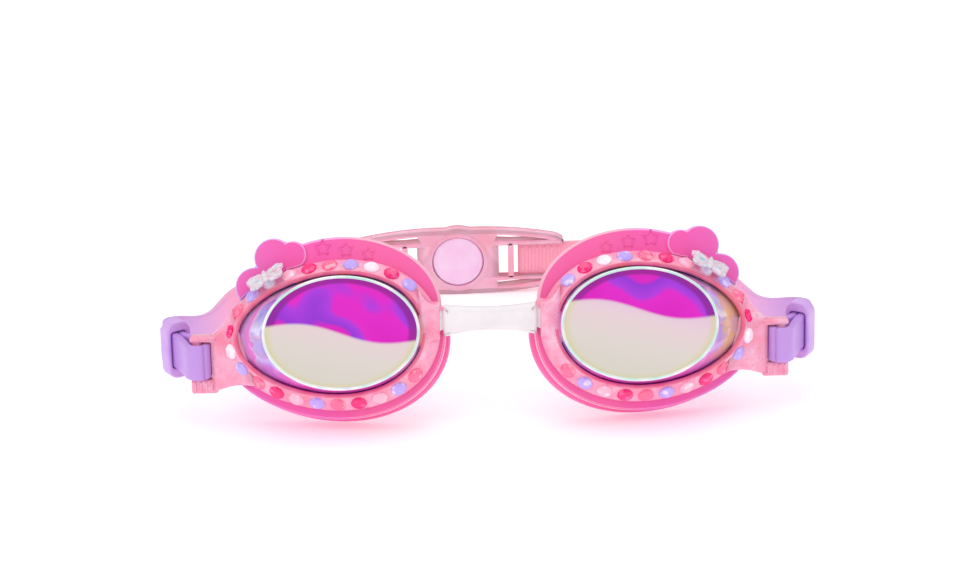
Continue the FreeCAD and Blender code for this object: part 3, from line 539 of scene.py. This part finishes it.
def join(bm, other, matrix=None):
    """Add another bmesh to bm, moved by a matrix, and free it."""
    if matrix is not None:
        other.transform(matrix)
    mesh = bpy.data.meshes.new("part")
    other.to_mesh(mesh)
    other.free()
    bm.from_mesh(mesh)
    bpy.data.meshes.remove(mesh)


def block(wide, deep, high, radius=0.3):
    """A box with round edges about its middle: wide in x, deep in y, high in z."""
    bm = cut_plate(rounded_rectangle(wide, high, min(radius * 1.5, wide / 2 - 0.01, high / 2 - 0.01)), [],
                   deep, min(radius, deep / 2 - 0.02), 2)
    bm.transform(Matrix.Rotation(math.pi / 2, 4, "X"))
    return bm


def egg_sweep(section, steps=144):
    """A ring: each (grow, q, drop) of the section carried round the eyepiece outline."""
    bm = bmesh.new()
    rings = []
    for step in range(steps):
        angle = 2 * math.pi * step / steps
        ring = []
        for grow, q, drop in section:
            p, w = egg(angle, grow)
            ring.append(rim(p, q, w - drop))
        rings.append(ring)
    skin(bm, rings, closed_run=True)
    return bm


def ray_to_circle(angle, centre, p, w, radius):
    """How far a ray from centre runs to the far side of a circle, or 0 if it misses."""
    dx, dy = math.cos(angle), math.sin(angle)
    fx, fy = centre[0] - p, centre[1] - w
    along = fx * dx + fy * dy
    inside = along * along - (fx * fx + fy * fy - radius * radius)
    return -along + math.sqrt(inside) if inside > 0 else 0.0


# --- the pieces of an eyepiece ------------------------------------------------------------------

FLANGE_FRONT = RING_BACK + 0.05
CLOUD = ((14.3, 19.9, 4.9), (19.2, 12.9, 4.9), (9.4, 20.3, 3.6), (15.0, 14.0, 5.0))
BROW_MIDDLE, BROW_LONG, BROW_HIGH = (-2.3, 6.2), 50.0, 36.5
FLANGE_GROW, GASKET_DROP = RING_OUT + 1.1, 1.0
STARS = ((-9.6, 19.9, 1.7), (-4.0, 21.2, 1.9), (1.8, 21.9, 2.15))


def in_plate(q):
    """Takes a flat drawing (p, w) to the rim's plane at depth q, its front towards the viewer."""
    return RIM_PLANE @ Matrix.Translation((0, q, 0)) @ Matrix.Rotation(math.pi / 2, 4, "X")


def brow_outline():
    """The gasket's outline: flange, brow and cloud together, by rays from the middle."""
    points = []
    centre = (0.0, 2.0)
    for step in range(300):
        angle = 2 * math.pi * step / 300
        reach = 0.0
        for p, w, radius in CLOUD:
            reach = max(reach, ray_to_circle(angle, centre, p, w, radius))
        scale = BROW_LONG / BROW_HIGH
        stretched = math.atan2(math.sin(angle) * scale, math.cos(angle))
        length = math.hypot(math.cos(angle), math.sin(angle) * scale)
        start = (centre[0] - BROW_MIDDLE[0], (centre[1] - BROW_MIDDLE[1]) * scale)
        reach = max(reach, ray_to_circle(stretched, start, 0, 0, BROW_LONG / 2) / length)
        points.append((centre[0] + reach * math.cos(angle), centre[1] + reach * math.sin(angle)))
    rim_line = [egg(2 * math.pi * step / 720, FLANGE_GROW) for step in range(720)]
    rim_line = [(x, y - GASKET_DROP) for x, y in rim_line]
    merged = []
    for x, y in points:
        angle = math.atan2(y - centre[1], x - centre[0])
        near = min(rim_line, key=lambda item: abs(math.remainder(
            math.atan2(item[1] - centre[1], item[0] - centre[0]) - angle, 2 * math.pi)))
        if math.hypot(near[0] - centre[0], near[1] - centre[1]) > math.hypot(x - centre[0], y - centre[1]):
            x, y = near
        merged.append((x, y))
    return merged


def cloud_outline(shrink):
    """The raised cloud, kept clear of the rim."""
    centre = (14.5, 17.5)
    keep_out = [egg(2 * math.pi * step / 720, RING_OUT + 0.15) for step in range(720)]
    points = []
    for step in range(200):
        angle = 2 * math.pi * step / 200
        reach = max(ray_to_circle(angle, centre, p, w, radius - shrink) for p, w, radius in CLOUD)
        x = centre[0] + reach * math.cos(angle)
        y = centre[1] + reach * math.sin(angle)
        near = min(keep_out, key=lambda item: (item[0] - x) ** 2 + (item[1] - y) ** 2)
        if x * near[0] + y * near[1] < near[0] ** 2 + near[1] ** 2:
            x, y = near
        points.append((x, y))
    return points


def make_gasket(name, side):
    """Soft cup with its brow, cloud and stars."""
    section = [(0.2, 2.95, 0), (1.15, 2.95, 0), (1.15, 4.7, 0), (4.6, 4.65, 1), (4.95, 4.8, 1),
               (5.1, 5.3, 1), (5.1, 6.0, 1), (4.8, 6.5, 1), (4.3, 6.65, 1), (2.4, 6.75, 0.3),
               (1.85, 7.3, 0), (1.8, 8.6, 0), (2.2, 9.3, 0.2), (4.2, 9.65, 1), (5.1, 10.1, 1),
               (5.4, 11.0, 1), (5.38, 12.6, 1), (5.0, 13.4, 1), (4.2, 13.65, 1), (2.9, 13.5, 0.6),
               (1.7, 12.6, 0), (0.9, 10.6, 0), (0.25, 8.5, 0), (0.2, 6.0, 0)]
    bm = egg_sweep(section)
    hole = [egg(2 * math.pi * step / 200, 1.3) for step in range(200)]
    join(bm, cut_plate(brow_outline(), [hole], 2.0, 0.6), in_plate(FLANGE_FRONT + 1.0))
    join(bm, cut_plate(cloud_outline(0.12), [], 1.3, 0.35), in_plate(FLANGE_FRONT - 0.05))
    for p, w, radius in STARS:
        corners = []
        for step in range(10):
            reach = radius if step % 2 == 0 else radius * 0.52
            angle = math.pi / 2 + math.pi * step / 5
            corners.append(Vector((p + reach * math.cos(angle), w + reach * math.sin(angle), 0)))
        line = []
        for here, following in zip(corners, corners[1:] + corners[:1]):
            line += [here.lerp(following, 0.08), here.lerp(following, 0.5), here.lerp(following, 0.92)]
        join(bm, tube(line, 0.2), in_plate(FLANGE_FRONT - 0.02))
    transform(bm, EYE_FRAME, side)
    piece = new_piece(name, bm, GASKET)
    add_uv(piece, EYE_FRAME, side)
    return piece


def nose_lug():
    """Trapezoid lug from the rim to the bridge, hollow-ended to fit the bridge."""
    bm = bmesh.new()
    rings = []
    for x, deep, high, hollow in ((12.25, 3.4, 8.8, 0.5), (12.5, 4.3, 9.3, 0.4), (13.3, 4.5, 8.8, 0.2),
                                  (14.4, 4.4, 8.9, 0.0), (15.6, 4.0, 10.2, 0.0), (16.6, 3.4, 12.4, 0.0),
                                  (17.4, 2.6, 14.6, 0.0)):
        ring = []
        for y, z in rounded_rectangle(deep, high, 1.1):
            shear = z * math.tan(LEAN) * (x - 12.25) / 5.15
            ring.append(Vector((x + hollow * (1 - (2 * z / high) ** 2), y + shear, z)))
        rings.append(ring)
    skin(bm, rings, caps=True)
    bm.transform(BRIDGE_FRAME)
    bm.transform(EYE_FRAME.inverted())
    return bm


def arm():
    """Wing from the rim to the side lug: two fingers with the strap bar between them, and grip ribs."""
    bm = bmesh.new()
    to_eye = EYE_FRAME.inverted() @ STRAP_FRAME
    root = []
    for across, up in rounded_rectangle(3.4, 20.0, 1.2):
        share = up / 20.0 + 0.5
        root.append(rim(19.0 + 5.5 * share, RING_BACK / 2 + across, -12.0 + 19.5 * share))
    end = [to_eye @ Vector((BAR_X - 3.5, y, z - 1.1)) for y, z in rounded_rectangle(3.2, 14.8, 1.2)]
    root_middle = sum(root, Vector()) / len(root)
    end_middle = sum(end, Vector()) / len(end)
    rings = []
    for share in (0.0, 0.2, 0.4, 0.6, 0.8, 1.0):
        pinch = 1 - 0.10 * math.sin(math.pi * share)
        middle = root_middle.lerp(end_middle, share)
        rings.append([middle + (near.lerp(far, share) - middle) * pinch for near, far in zip(root, end)])
    skin(bm, rings, caps=True)
    for high, middle in ((1.4, 5.6), (3.6, -6.7)):
        join(bm, block(6.6, 3.2, high, 0.45), to_eye @ Matrix.Translation((BAR_X - 1.5, 0, middle)))
    bar = cut_plate(ellipse(BAR_RADIUS, BAR_RADIUS, 24), [], STRAP_WIDE + 1.4, 0.1)
    join(bm, bar, to_eye @ Matrix.Translation((BAR_X, 0, 0)))
    for count in range(4):
        rib = block(0.5, 0.7, 2.8, 0.2)
        join(bm, rib, to_eye @ Matrix.Translation((BAR_X - 3.2 + count * 1.35, -1.6, -6.7)))
    return bm


def make_frame(name, side):
    """Moulded rim with a rounded front, sloping stone band, nose lug and side lug."""
    outline = [(1.25, 1.9), (0.0, 1.9), (0.0, 0.55), (0.15, 0.2), (0.45, 0.02), (0.8, 0.0), (1.05, 0.12),
               (1.2, 0.42), (1.5, 0.62), (1.9, 1.05), (2.6, 1.95), (3.3, 2.85), (3.75, 3.45), (3.98, 3.85),
               (4.0, 4.3), (3.85, 4.55), (3.5, 4.6), (1.25, 4.6)]
    section = [(grow, q, 0) for grow, q in outline]
    bm = egg_sweep(section, 180)
    deeper = len(bm.faces)
    join(bm, nose_lug())
    join(bm, arm())
    # The inner wall and front lip of the rim take the deeper rose, partly painted shade.
    bm.faces.ensure_lookup_table()
    for index, face in enumerate(bm.faces):
        face.material_index = 1 if index < deeper and index % len(section) in (1, 2, 3, 4, 5) else 0
    transform(bm, EYE_FRAME, side)
    piece = new_piece(name, bm, GLITTER)
    piece.data.materials.append(RIM)
    return piece


def make_lens(name, side):
    """Cupped lens: mirrored flat front, polished edge and clear sloping side."""
    steps = 144
    rings = []
    kinds = []

    def oval(inset, y, kind):
        rings.append([Vector(((LENS_LONG / 2 - inset) * math.cos(2 * math.pi * step / steps), y,
                              (LENS_HIGH / 2 - inset) * math.sin(2 * math.pi * step / steps)))
                      for step in range(steps)])
        kinds.append(kind)

    def outline(grow, q, kind):
        ring = []
        for step in range(steps):
            p, w = egg(2 * math.pi * step / steps, grow)
            ring.append(rim(p, q, w))
        rings.append(ring)
        kinds.append(kind)

    half = LENS_HIGH / 2
    for inset in (half * 0.98, half * 0.75, half * 0.5, half * 0.25, half * 0.1, 1.0):
        oval(inset, 0.12, 0)
    for inset, y in ((0.75, 0.0), (0.35, 0.0), (0.1, 0.12), (0.0, 0.4)):
        oval(inset, y, 1)
    kinds[9] = 2
    outside = rings[-1]
    outline(-0.05, 1.95, 2)
    edge = rings.pop()
    kinds.pop()
    for share in (0.12, 0.25, 0.5, 0.75, 0.9, 1.0):
        rings.append([a.lerp(b, share) for a, b in zip(outside, edge)])
        kinds.append(2)
    outline(1.15, 1.96, 2)
    outline(1.15, 2.84, 2)
    outline(-1.2, 2.84, 2)
    oval(1.4, 1.6, 2)
    oval(2.2, 1.25, 0)
    oval(half * 0.6, 1.25, 0)
    oval(half * 0.98, 1.25, 0)
    bm = bmesh.new()
    rows = skin(bm, rings)
    bm.faces.ensure_lookup_table()
    for index, face in enumerate(bm.faces):
        face.material_index = kinds[index // steps]
    bm.faces.new(rows[0]).material_index = 0
    bm.faces.new(rows[-1]).material_index = 0
    transform(bm, EYE_FRAME, side)
    piece = new_piece(name, bm, MIRROR_COAT)
    piece.data.materials.append(EDGE)
    piece.data.materials.append(FACET)
    add_uv(piece, EYE_FRAME, side, handed=False)
    return piece


STONE_ORDER = ("lilac", "hot_pink", "clear", "lilac", "rose", "hot_pink", "pale_pink", "charm",
               "lilac", "rose", "hot_pink", "clear", "lilac", "rose", "hot_pink", "pale_pink",
               "lilac", "rose", "hot_pink", "pale_pink", "lilac", "rose")
STONES_FROM, STONES_TO = math.radians(143.0), math.radians(-146.0)
STONE_SIDES = 12
BAND_MIDDLE = RIM_FLAT + BAND_RUN / 2


def stone_angles():
    """Outline angles of the stones, evenly spaced along the sloping band."""
    fine = 1440
    angles = [STONES_FROM + (STONES_TO - STONES_FROM) * step / fine for step in range(fine + 1)]
    points = [egg(angle, BAND_MIDDLE) for angle in angles]
    travelled = [0.0]
    for before, after in zip(points, points[1:]):
        travelled.append(travelled[-1] + math.dist(before, after))
    last = len(STONE_ORDER) - 1
    return [angles[min(range(fine + 1), key=lambda step: abs(travelled[step] - travelled[-1] * index / last))]
            for index in range(last + 1)]


def band_seat(angle):
    """Takes a stone, drawn with z up from its seat, to its place on the band."""
    p, w = egg(angle, BAND_MIDDLE)
    p_out, w_out = egg(angle, BAND_MIDDLE + 1)
    outward = Vector((p_out - p, 0, w_out - w))
    slope = math.atan2(BAND_DROP, BAND_RUN)
    normal = outward * math.sin(slope) + Vector((0, -1, 0)) * math.cos(slope)
    along = Vector((0, 1, 0)).cross(outward)
    across = normal.cross(along)
    turn = Matrix((along, across, normal)).transposed().to_4x4()
    return RIM_PLANE @ Matrix.Translation((p, BAND_DROP / 2, w)) @ turn


def stone(bm, matrix, spin):
    """One faceted stone: girdle, two rows of crown facets and a flat table."""
    rings = []
    for radius, height, shift in ((1.95, -0.48, 0), (2.0, 0.22, 0), (1.72, 0.52, 0.5), (1.2, 0.86, 0)):
        ring = []
        for step in range(STONE_SIDES):
            angle = 2 * math.pi * (step + shift) / STONE_SIDES + spin
            ring.append(matrix @ Vector((radius * math.cos(angle), radius * math.sin(angle), height)))
        rings.append(ring)
    rows = [[bm.verts.new(point) for point in ring] for ring in rings]
    for index in range(STONE_SIDES):
        after = (index + 1) % STONE_SIDES
        bm.faces.new((rows[0][index], rows[0][after], rows[1][after], rows[1][index]))
        bm.faces.new((rows[1][index], rows[1][after], rows[2][index]))
        bm.faces.new((rows[1][after], rows[2][after], rows[2][index]))
        bm.faces.new((rows[2][index], rows[2][after], rows[3][after]))
        bm.faces.new((rows[2][index], rows[3][after], rows[3][index]))
    bm.faces.new(rows[3])
    bm.faces.new(rows[0])


def make_stones(name, side, colour):
    """All stones of one colour on one eyepiece."""
    bm = bmesh.new()
    for index, (kind, angle) in enumerate(zip(STONE_ORDER, stone_angles())):
        if kind == colour:
            stone(bm, band_seat(angle), index * 0.37)
    transform(bm, EYE_FRAME, side)
    return new_piece(name, bm, STONES[colour], smooth=False)


def make_charm(name, side):
    """Winged opal charm: four scalloped wings with raised veins, a body, and a round foot."""
    angle = stone_angles()[STONE_ORDER.index("charm")]
    bm = bmesh.new()
    for degrees in (22, -25, 158, 205):
        long, wide = (3.1, 1.9) if degrees in (22, 158) else (2.6, 1.7)
        outline = []
        for step in range(96):
            turn = 2 * math.pi * step / 96
            scallop = 1 + 0.05 * math.cos(12 * turn)
            outline.append((2.3 + long * scallop * math.cos(turn), wide * scallop * math.sin(turn)))
        spin = Matrix.Rotation(math.radians(degrees), 4, "Z")
        join(bm, cut_plate(outline, [], 0.8, 0.25), Matrix.Translation((0, 0, 2.2)) @ spin)
        for lean in (-0.28, 0.0, 0.28):
            vein = [Vector((0.6 + 0.5 * step, lean * (0.6 + 0.5 * step), 0)) for step in range(9)]
            join(bm, tube(vein, 0.16, 6, closed=False), Matrix.Translation((0, 0, 2.6)) @ spin)
    join(bm, cut_plate(ellipse(0.75, 2.6, 24), [], 1.1, 0.35), Matrix.Translation((0, 0, 2.55)))
    join(bm, cut_plate(ellipse(1.75, 1.75, 24), [], 2.2, 0.2), Matrix.Translation((0, 0, 0.7)))
    bm.transform(band_seat(angle))
    transform(bm, EYE_FRAME, side)
    return new_piece(name, bm, CHARM)


# --- bridge -------------------------------------------------------------------------------------

def make_bridge():
    """Waisted white band with convex ends, and the tongue and knob that hold it in each lug."""
    upper, lower = [], []
    half = BRIDGE_LONG / 2
    steps = 28
    for step in range(steps + 1):
        x = -half + 0.4 + (BRIDGE_LONG - 0.8) * step / steps
        waist = 1 - (x / half) ** 2
        upper.append((x, BRIDGE_HALF_HIGH - 0.85 * waist))
        lower.append((x, -BRIDGE_HALF_HIGH + 1.55 * waist))
    right = [(half - 0.4 + 0.6 * math.cos(math.pi * share), BRIDGE_HALF_HIGH * math.sin(math.pi * share))
             for share in (-0.42, -0.3, -0.15, 0.0, 0.15, 0.3, 0.42)]
    left = [(-x, -y) for x, y in right]
    outline = lower + right + list(reversed(upper)) + left
    bm = cut_plate(outline, [], 3.1, 1.1, 4)
    bm.transform(Matrix.Rotation(math.pi / 2, 4, "X"))
    for way in (1, -1):
        join(bm, block(2.2, 1.3, 4.6, 0.25), Matrix.Translation((way * 12.1, 0, 0)))
        knob = cut_plate(ellipse(KNOB_RADIUS, KNOB_RADIUS, 24), [], 5.0, 0.25)
        join(bm, knob, Matrix.Translation((way * KNOB_X, 0, 0)))
    bm.transform(BRIDGE_FRAME)
    return new_piece("nose_bridge_soft", bm, BRIDGE)


# --- strap --------------------------------------------------------------------------------------

LOOP_RADIUS = BAR_RADIUS + 0.3 + STRAP_THICK / 2
LAYER_OFF = (STRAP_THICK + 0.1) / 2
SLOPE = math.atan2(LOOP_RADIUS - LAYER_OFF, 7.5)
EASE = BEND_RADIUS * math.tan(SLOPE / 2)
SLANT = (LOOP_RADIUS * math.cos(SLOPE) - LAYER_OFF) / math.sin(SLOPE)
CONVERGED = LOOP_RADIUS * math.sin(SLOPE) + SLANT * math.cos(SLOPE) + EASE
LOOP_START = Vector((BAR_X, 0, 0)) - Vector((math.cos(SPLAY), math.sin(SPLAY), 0)) * LOOP_RADIUS
STRAP_LOW = STRAP_WIDE / 2 + 0.3 - BAR.z
STRAP_REAR = BUCKLE_HIGH / 2 - BAR.z


def layer_moves(side):
    """From the loop's far point round the bar to where the two layers lie together."""
    return [("arc", LOOP_RADIUS, side * (math.pi / 2 + SLOPE)), ("run", SLANT - EASE, 0),
            ("arc", BEND_RADIUS, -side * SLOPE)]


def walk(point, heading, moves, pace=0.8):
    """Points and headings along runs and arcs, from a point."""
    trail = [(point.copy(), heading)]
    for kind, amount, turn in moves:
        length = amount if kind == "run" else amount * abs(turn)
        count = max(2, round(length / pace))
        for _ in range(count):
            stride = length / count if kind == "run" else 2 * amount * math.sin(abs(turn) / count / 2)
            heading += turn / count / 2
            point = point + Vector((math.cos(heading), math.sin(heading), 0)) * stride
            heading += turn / count / 2
            trail.append((point.copy(), heading))
    return trail


def eased(share):
    """A smooth step from 0 to 1."""
    share = min(max(share, 0.0), 1.0)
    return share * share * (3 - 2 * share)


def strap_strip(trail):
    """A flat strap with round edges along the trail."""
    section = rounded_rectangle(STRAP_THICK, STRAP_WIDE, 0.55, 4)
    bm = bmesh.new()
    rings = []
    for point, heading in trail:
        left = Vector((-math.sin(heading), math.cos(heading), 0))
        rings.append([point + left * x + Vector((0, 0, z)) for x, z in section])
    skin(bm, rings, caps=True)
    return bm


DOUBLE_TRAIL = walk(LOOP_START, SPLAY + math.pi / 2, layer_moves(-1) + [("run", DOUBLE_RUN - CONVERGED, 0)])
TAIL_TRAIL = walk(LOOP_START, SPLAY - math.pi / 2, layer_moves(1) + [("run", TAIL_END - CONVERGED, 0)])
SIDE_MOVES = [("arc", BEND_RADIUS, SIDE_HEADING - SPLAY), ("run", SIDE_RUN, 0)]
FREE_TRAIL = walk(DOUBLE_TRAIL[-1][0], SPLAY, SIDE_MOVES)
REAR_STRAIGHT = BUCKLE_LONG / 2 + BUCKLE_SHIFT + SLIDE_ROOM
REAR_RADIUS = (FREE_TRAIL[-1][0].x - REAR_STRAIGHT) / math.sin(SIDE_HEADING)
FREE_TRAIL += walk(FREE_TRAIL[-1][0], SIDE_HEADING, [("arc", REAR_RADIUS, math.pi - SIDE_HEADING)])[1:]
REAR_END = FREE_TRAIL[-1][0].copy()
REAR_END.z = STRAP_REAR
BUCKLE_Y = REAR_END.y + 0.2


def settle_heights(trail):
    """Let the strap fall to the floor behind the keeper, then climb to the buckle."""
    travelled = [0.0]
    for (before, _), (after, _) in zip(trail, trail[1:]):
        travelled.append(travelled[-1] + (after - before).length)
    for (point, _), length in zip(trail, travelled):
        share = length / travelled[-1]
        point.z = STRAP_LOW * eased(share / 0.5) + (STRAP_REAR - STRAP_LOW) * eased((share - 0.65) / 0.35)


settle_heights(FREE_TRAIL)


def make_strap(name, side):
    """Strap half: looped round the side bar, doubled to the keeper, ribbed at its rear end."""
    tip = STRAP_TIP - side * BUCKLE_SHIFT
    count = 24
    rear = [(REAR_END.lerp(Vector((tip, REAR_END.y, REAR_END.z)), step / count), math.pi)
            for step in range(1, count + 1)]
    bm = strap_strip(DOUBLE_TRAIL + FREE_TRAIL[1:] + rear)
    join(bm, strap_strip(TAIL_TRAIL))
    for rib in range(6):
        spot = Vector((tip + 1.3 + rib * 2.0, REAR_END.y - 0.9, REAR_END.z))
        join(bm, block(0.8, 0.5, 7.0, 0.2), Matrix.Translation(spot))
    transform(bm, STRAP_FRAME, side)
    return new_piece(name, bm, STRAP)


def make_keeper(name, side):
    """Rounded loop round both strap layers."""
    slot = rounded_rectangle(4.3, 9.6, 0.8)
    bm = cut_plate(rounded_rectangle(6.8, 15.0, 3.0, 8), [slot], KEEPER_RUN, 0.6, 4)
    bm.transform(Matrix(((0, 0, 1, 0), (1, 0, 0, 0), (0, 1, 0, 0), (0, 0, 0, 1))))
    place = Matrix.Translation((BAR_X + KEEPER_AT * math.cos(SPLAY), KEEPER_AT * math.sin(SPLAY), 0))
    bm.transform(place @ Matrix.Rotation(SPLAY, 4, "Z"))
    transform(bm, STRAP_FRAME, side)
    return new_piece(name, bm, KEEPER)


# --- rear buckle --------------------------------------------------------------------------------

BUCKLE_SPOT = Matrix.Translation((-BUCKLE_SHIFT, BUCKLE_Y, STRAP_REAR))
BUCKLE_FRAME = STRAP_FRAME @ BUCKLE_SPOT @ Matrix.Rotation(math.pi / 2, 4, "X")
BOSS_RADIUS, RAIL_MIDDLE, RAIL_ARCH = BUCKLE_HIGH / 2, 8.75, 2.9
ARCH_FROM, ARCH_RUN = 5.0, 25.0
CORNER_FROM, CORNER_RADIUS = 26.6, 3.4
BACK_HALF, FRONT_HALF, MOUTH_FROM, MOUTH_HALF, MOUTH_END_HALF = 29.9, 29.3, 10.8, 4.9, 4.95
BADGE_SEAT = 7.1


def rail_height(x):
    """Half the buckle's height at x: the boss's circle, then a rail that arches down to the end."""
    boss = math.sqrt(max(BOSS_RADIUS ** 2 - x * x, 0))
    share = max(0.0, (abs(x) - ARCH_FROM) / ARCH_RUN)
    rail = RAIL_MIDDLE - RAIL_ARCH * share ** 2
    over = max(0.0, abs(x) - CORNER_FROM)
    rail -= CORNER_RADIUS - math.sqrt(max(CORNER_RADIUS ** 2 - over ** 2, 0))
    return max(boss, rail)


def rail_points(start, end, count, inset=0.0):
    """Points along the rail from start to end, drawn in by inset."""
    places = [start + (end - start) * step / count for step in range(count + 1)]
    return [(x, rail_height(x) - inset) for x in places]


def arc_window(way, up):
    """Slim window that follows the rail, between the boss and the buckle's end."""
    outer = [(way * x, up * y) for x, y in rail_points(11.0, 25.0, 14, 1.15)]
    inner = [(way * x, up * max(5.6, y)) for x, y in rail_points(25.2, 10.2, 14, 2.75)]
    return outer + inner


def make_buckle():
    """Two-window buckle: a back plate with end bars, and a front plate open at both ends."""
    top = rail_points(-BACK_HALF, BACK_HALF, 120)
    outline = top + [(x, -y) for x, y in reversed(top)]
    arcs = [arc_window(way, up) for way in (1, -1) for up in (1, -1)]
    windows = [[(way * 18.5 + x, y) for x, y in rounded_rectangle(15.4, 9.8, 0.8)] for way in (1, -1)]
    bm = cut_plate(outline, arcs + windows, 1.5, 0.45)
    bm.transform(Matrix.Translation((0, 0, -1.55)))
    front = rail_points(-FRONT_HALF, FRONT_HALF, 120)
    right = [(FRONT_HALF, MOUTH_END_HALF), (MOUTH_FROM, MOUTH_HALF), (MOUTH_FROM, -MOUTH_HALF),
             (FRONT_HALF, -MOUTH_END_HALF)]
    bottom = [(x, -y) for x, y in reversed(front)]
    left = [(-x, -y) for x, y in right]
    seat = ellipse(BADGE_SEAT, BADGE_SEAT, 64)
    join(bm, cut_plate(front + right + bottom + left, [seat] + arcs, 3.3, 0.45),
         Matrix.Translation((0, 0, 0.65)))
    for way in (1, -1):
        bar = cut_plate(rounded_rectangle(1.6, 10.4, 0.4), [], 0.9, 0.3)
        join(bm, bar, Matrix.Translation((way * 14.6, 0, 1.85)))
    bead = [Vector((x, y, 0)) for x, y in ellipse(BADGE_SEAT + 1.0, BADGE_SEAT + 1.0, 64)]
    join(bm, tube(bead, 0.3), Matrix.Translation((0, 0, 2.1)))
    bm.transform(BUCKLE_FRAME)
    return new_piece("rear_buckle_clear", bm, BUCKLE)


def make_badge():
    """Plain disc with a soft raised edge, sunk in the boss."""
    bm = bmesh.new()
    rings = []
    for radius, z in ((0.6, 1.55), (3.0, 1.57), (5.4, 1.57), (5.9, 1.62), (6.3, 1.70), (6.7, 1.66),
                      (6.95, 1.4), (6.95, -0.6), (0.6, -0.6)):
        rings.append([Vector((x, y, z)) for x, y in ellipse(radius, radius, 72)])
    skin(bm, rings, caps=True)
    bm.transform(BUCKLE_FRAME)
    return new_piece("buckle_badge_disc", bm, BADGE)


# --- putting it together ------------------------------------------------------------------------

def settle(piece, body, *nodes, slot=None):
    """Ride a piece on its body in place of its CAD nodes."""
    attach(piece, body)
    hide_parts(*nodes)


for word, hand in SIDES:
    eye = "eye_" + word
    settle(make_frame("frame_moulded_" + word, hand), eye, "frame_" + word, slot="frame_pink")
    settle(make_lens("lens_mirrored_" + word, hand), eye, "lens_" + word, slot="lens_mirror")
    settle(make_gasket("gasket_soft_" + word, hand), eye, "gasket_" + word, slot="gasket_soft")
    settle(make_charm("charm_winged_" + word, hand), eye, "charm_" + word, slot="charm_pearl")
    for tone in STONES:
        stones = make_stones("faceted_%s_%s" % (tone, word), hand, tone)
        settle(stones, eye, "stones_%s_%s" % (tone, word), slot="stone_" + tone)
    settle(make_strap("strap_soft_" + word, hand), "strap_" + word, "strap_" + word, slot="strap_lilac")
    settle(make_keeper("keeper_soft_" + word, hand), "keeper_" + word, "strap_keeper_" + word,
           slot="keeper_lilac")
settle(make_bridge(), "bridge", "nose_bridge", slot="bridge_white")
settle(make_buckle(), "buckle", "rear_buckle", slot="buckle_pink")
settle(make_badge(), "buckle", "buckle_badge", slot="badge_pale")


# --- floor, light and camera --------------------------------------------------------------------

def make_floor():
    """Plain white floor."""
    bm = bmesh.new()
    bmesh.ops.create_grid(bm, x_segments=1, y_segments=1, size=4000)
    nodes = Nodes("floor_white")
    nodes.set(Roughness=0.55, Specular_IOR_Level=0.25, Emission_Strength=0.28)
    white = nodes.ramp(nodes.noise(3, 1), [(0.3, (0.93, 0.93, 0.93)), (0.7, (0.95, 0.95, 0.95))])
    nodes.link(white, "Base Color")
    floor = new_piece("floor", bm, nodes.material, smooth=False)


def area_light(name, place, size, power):
    """A soft square light that looks at the goggles."""
    data = bpy.data.lights.new(name, "AREA")
    data.size = size
    data.energy = power
    lamp = bpy.data.objects.new(name, data)
    lamp.location = place
    lamp.rotation_euler = (Vector((0, 0, 0.02)) - Vector(place)).to_track_quat("-Z", "Y").to_euler()
    bpy.context.scene.collection.objects.link(lamp)


make_floor()
area_light("overhead", (0.0, 0.1, 1.1), 1.2, 4.6)
area_light("key_left", (-0.9, -0.7, 0.7), 0.7, 2.6)
area_light("fill_right", (0.9, -0.6, 0.6), 0.7, 1.2)
world = bpy.data.worlds.new("studio")
bpy.context.scene.world = world
world.use_nodes = True
world.node_tree.nodes["Background"].inputs["Color"].default_value = (1, 1, 1, 1)
world.node_tree.nodes["Background"].inputs["Strength"].default_value = 0.62

CAMERA_AWAY = 0.80
CAMERA_TURN, CAMERA_RISE, CAMERA_ROLL = math.radians(1.3), math.radians(18.8), math.radians(1.34)
camera_data = bpy.data.cameras.new("camera")
camera_data.lens = 122.3
camera_data.sensor_width = 36
camera = bpy.data.objects.new("camera", camera_data)
AIM = Vector((-0.00135, EYE_ORIGIN.y * MM, EYE_ORIGIN.z * MM + 0.0116))
back = Vector((-math.sin(CAMERA_TURN) * math.cos(CAMERA_RISE), -math.cos(CAMERA_TURN) * math.cos(CAMERA_RISE),
               math.sin(CAMERA_RISE)))
camera.location = AIM + back * CAMERA_AWAY
look = (-back).to_track_quat("-Z", "Y").to_matrix() @ Matrix.Rotation(-CAMERA_ROLL, 3, "Z")
camera.rotation_euler = look.to_euler()
bpy.context.scene.collection.objects.link(camera)
bpy.context.scene.camera = camera
bpy.context.scene.view_settings.view_transform = "Standard"
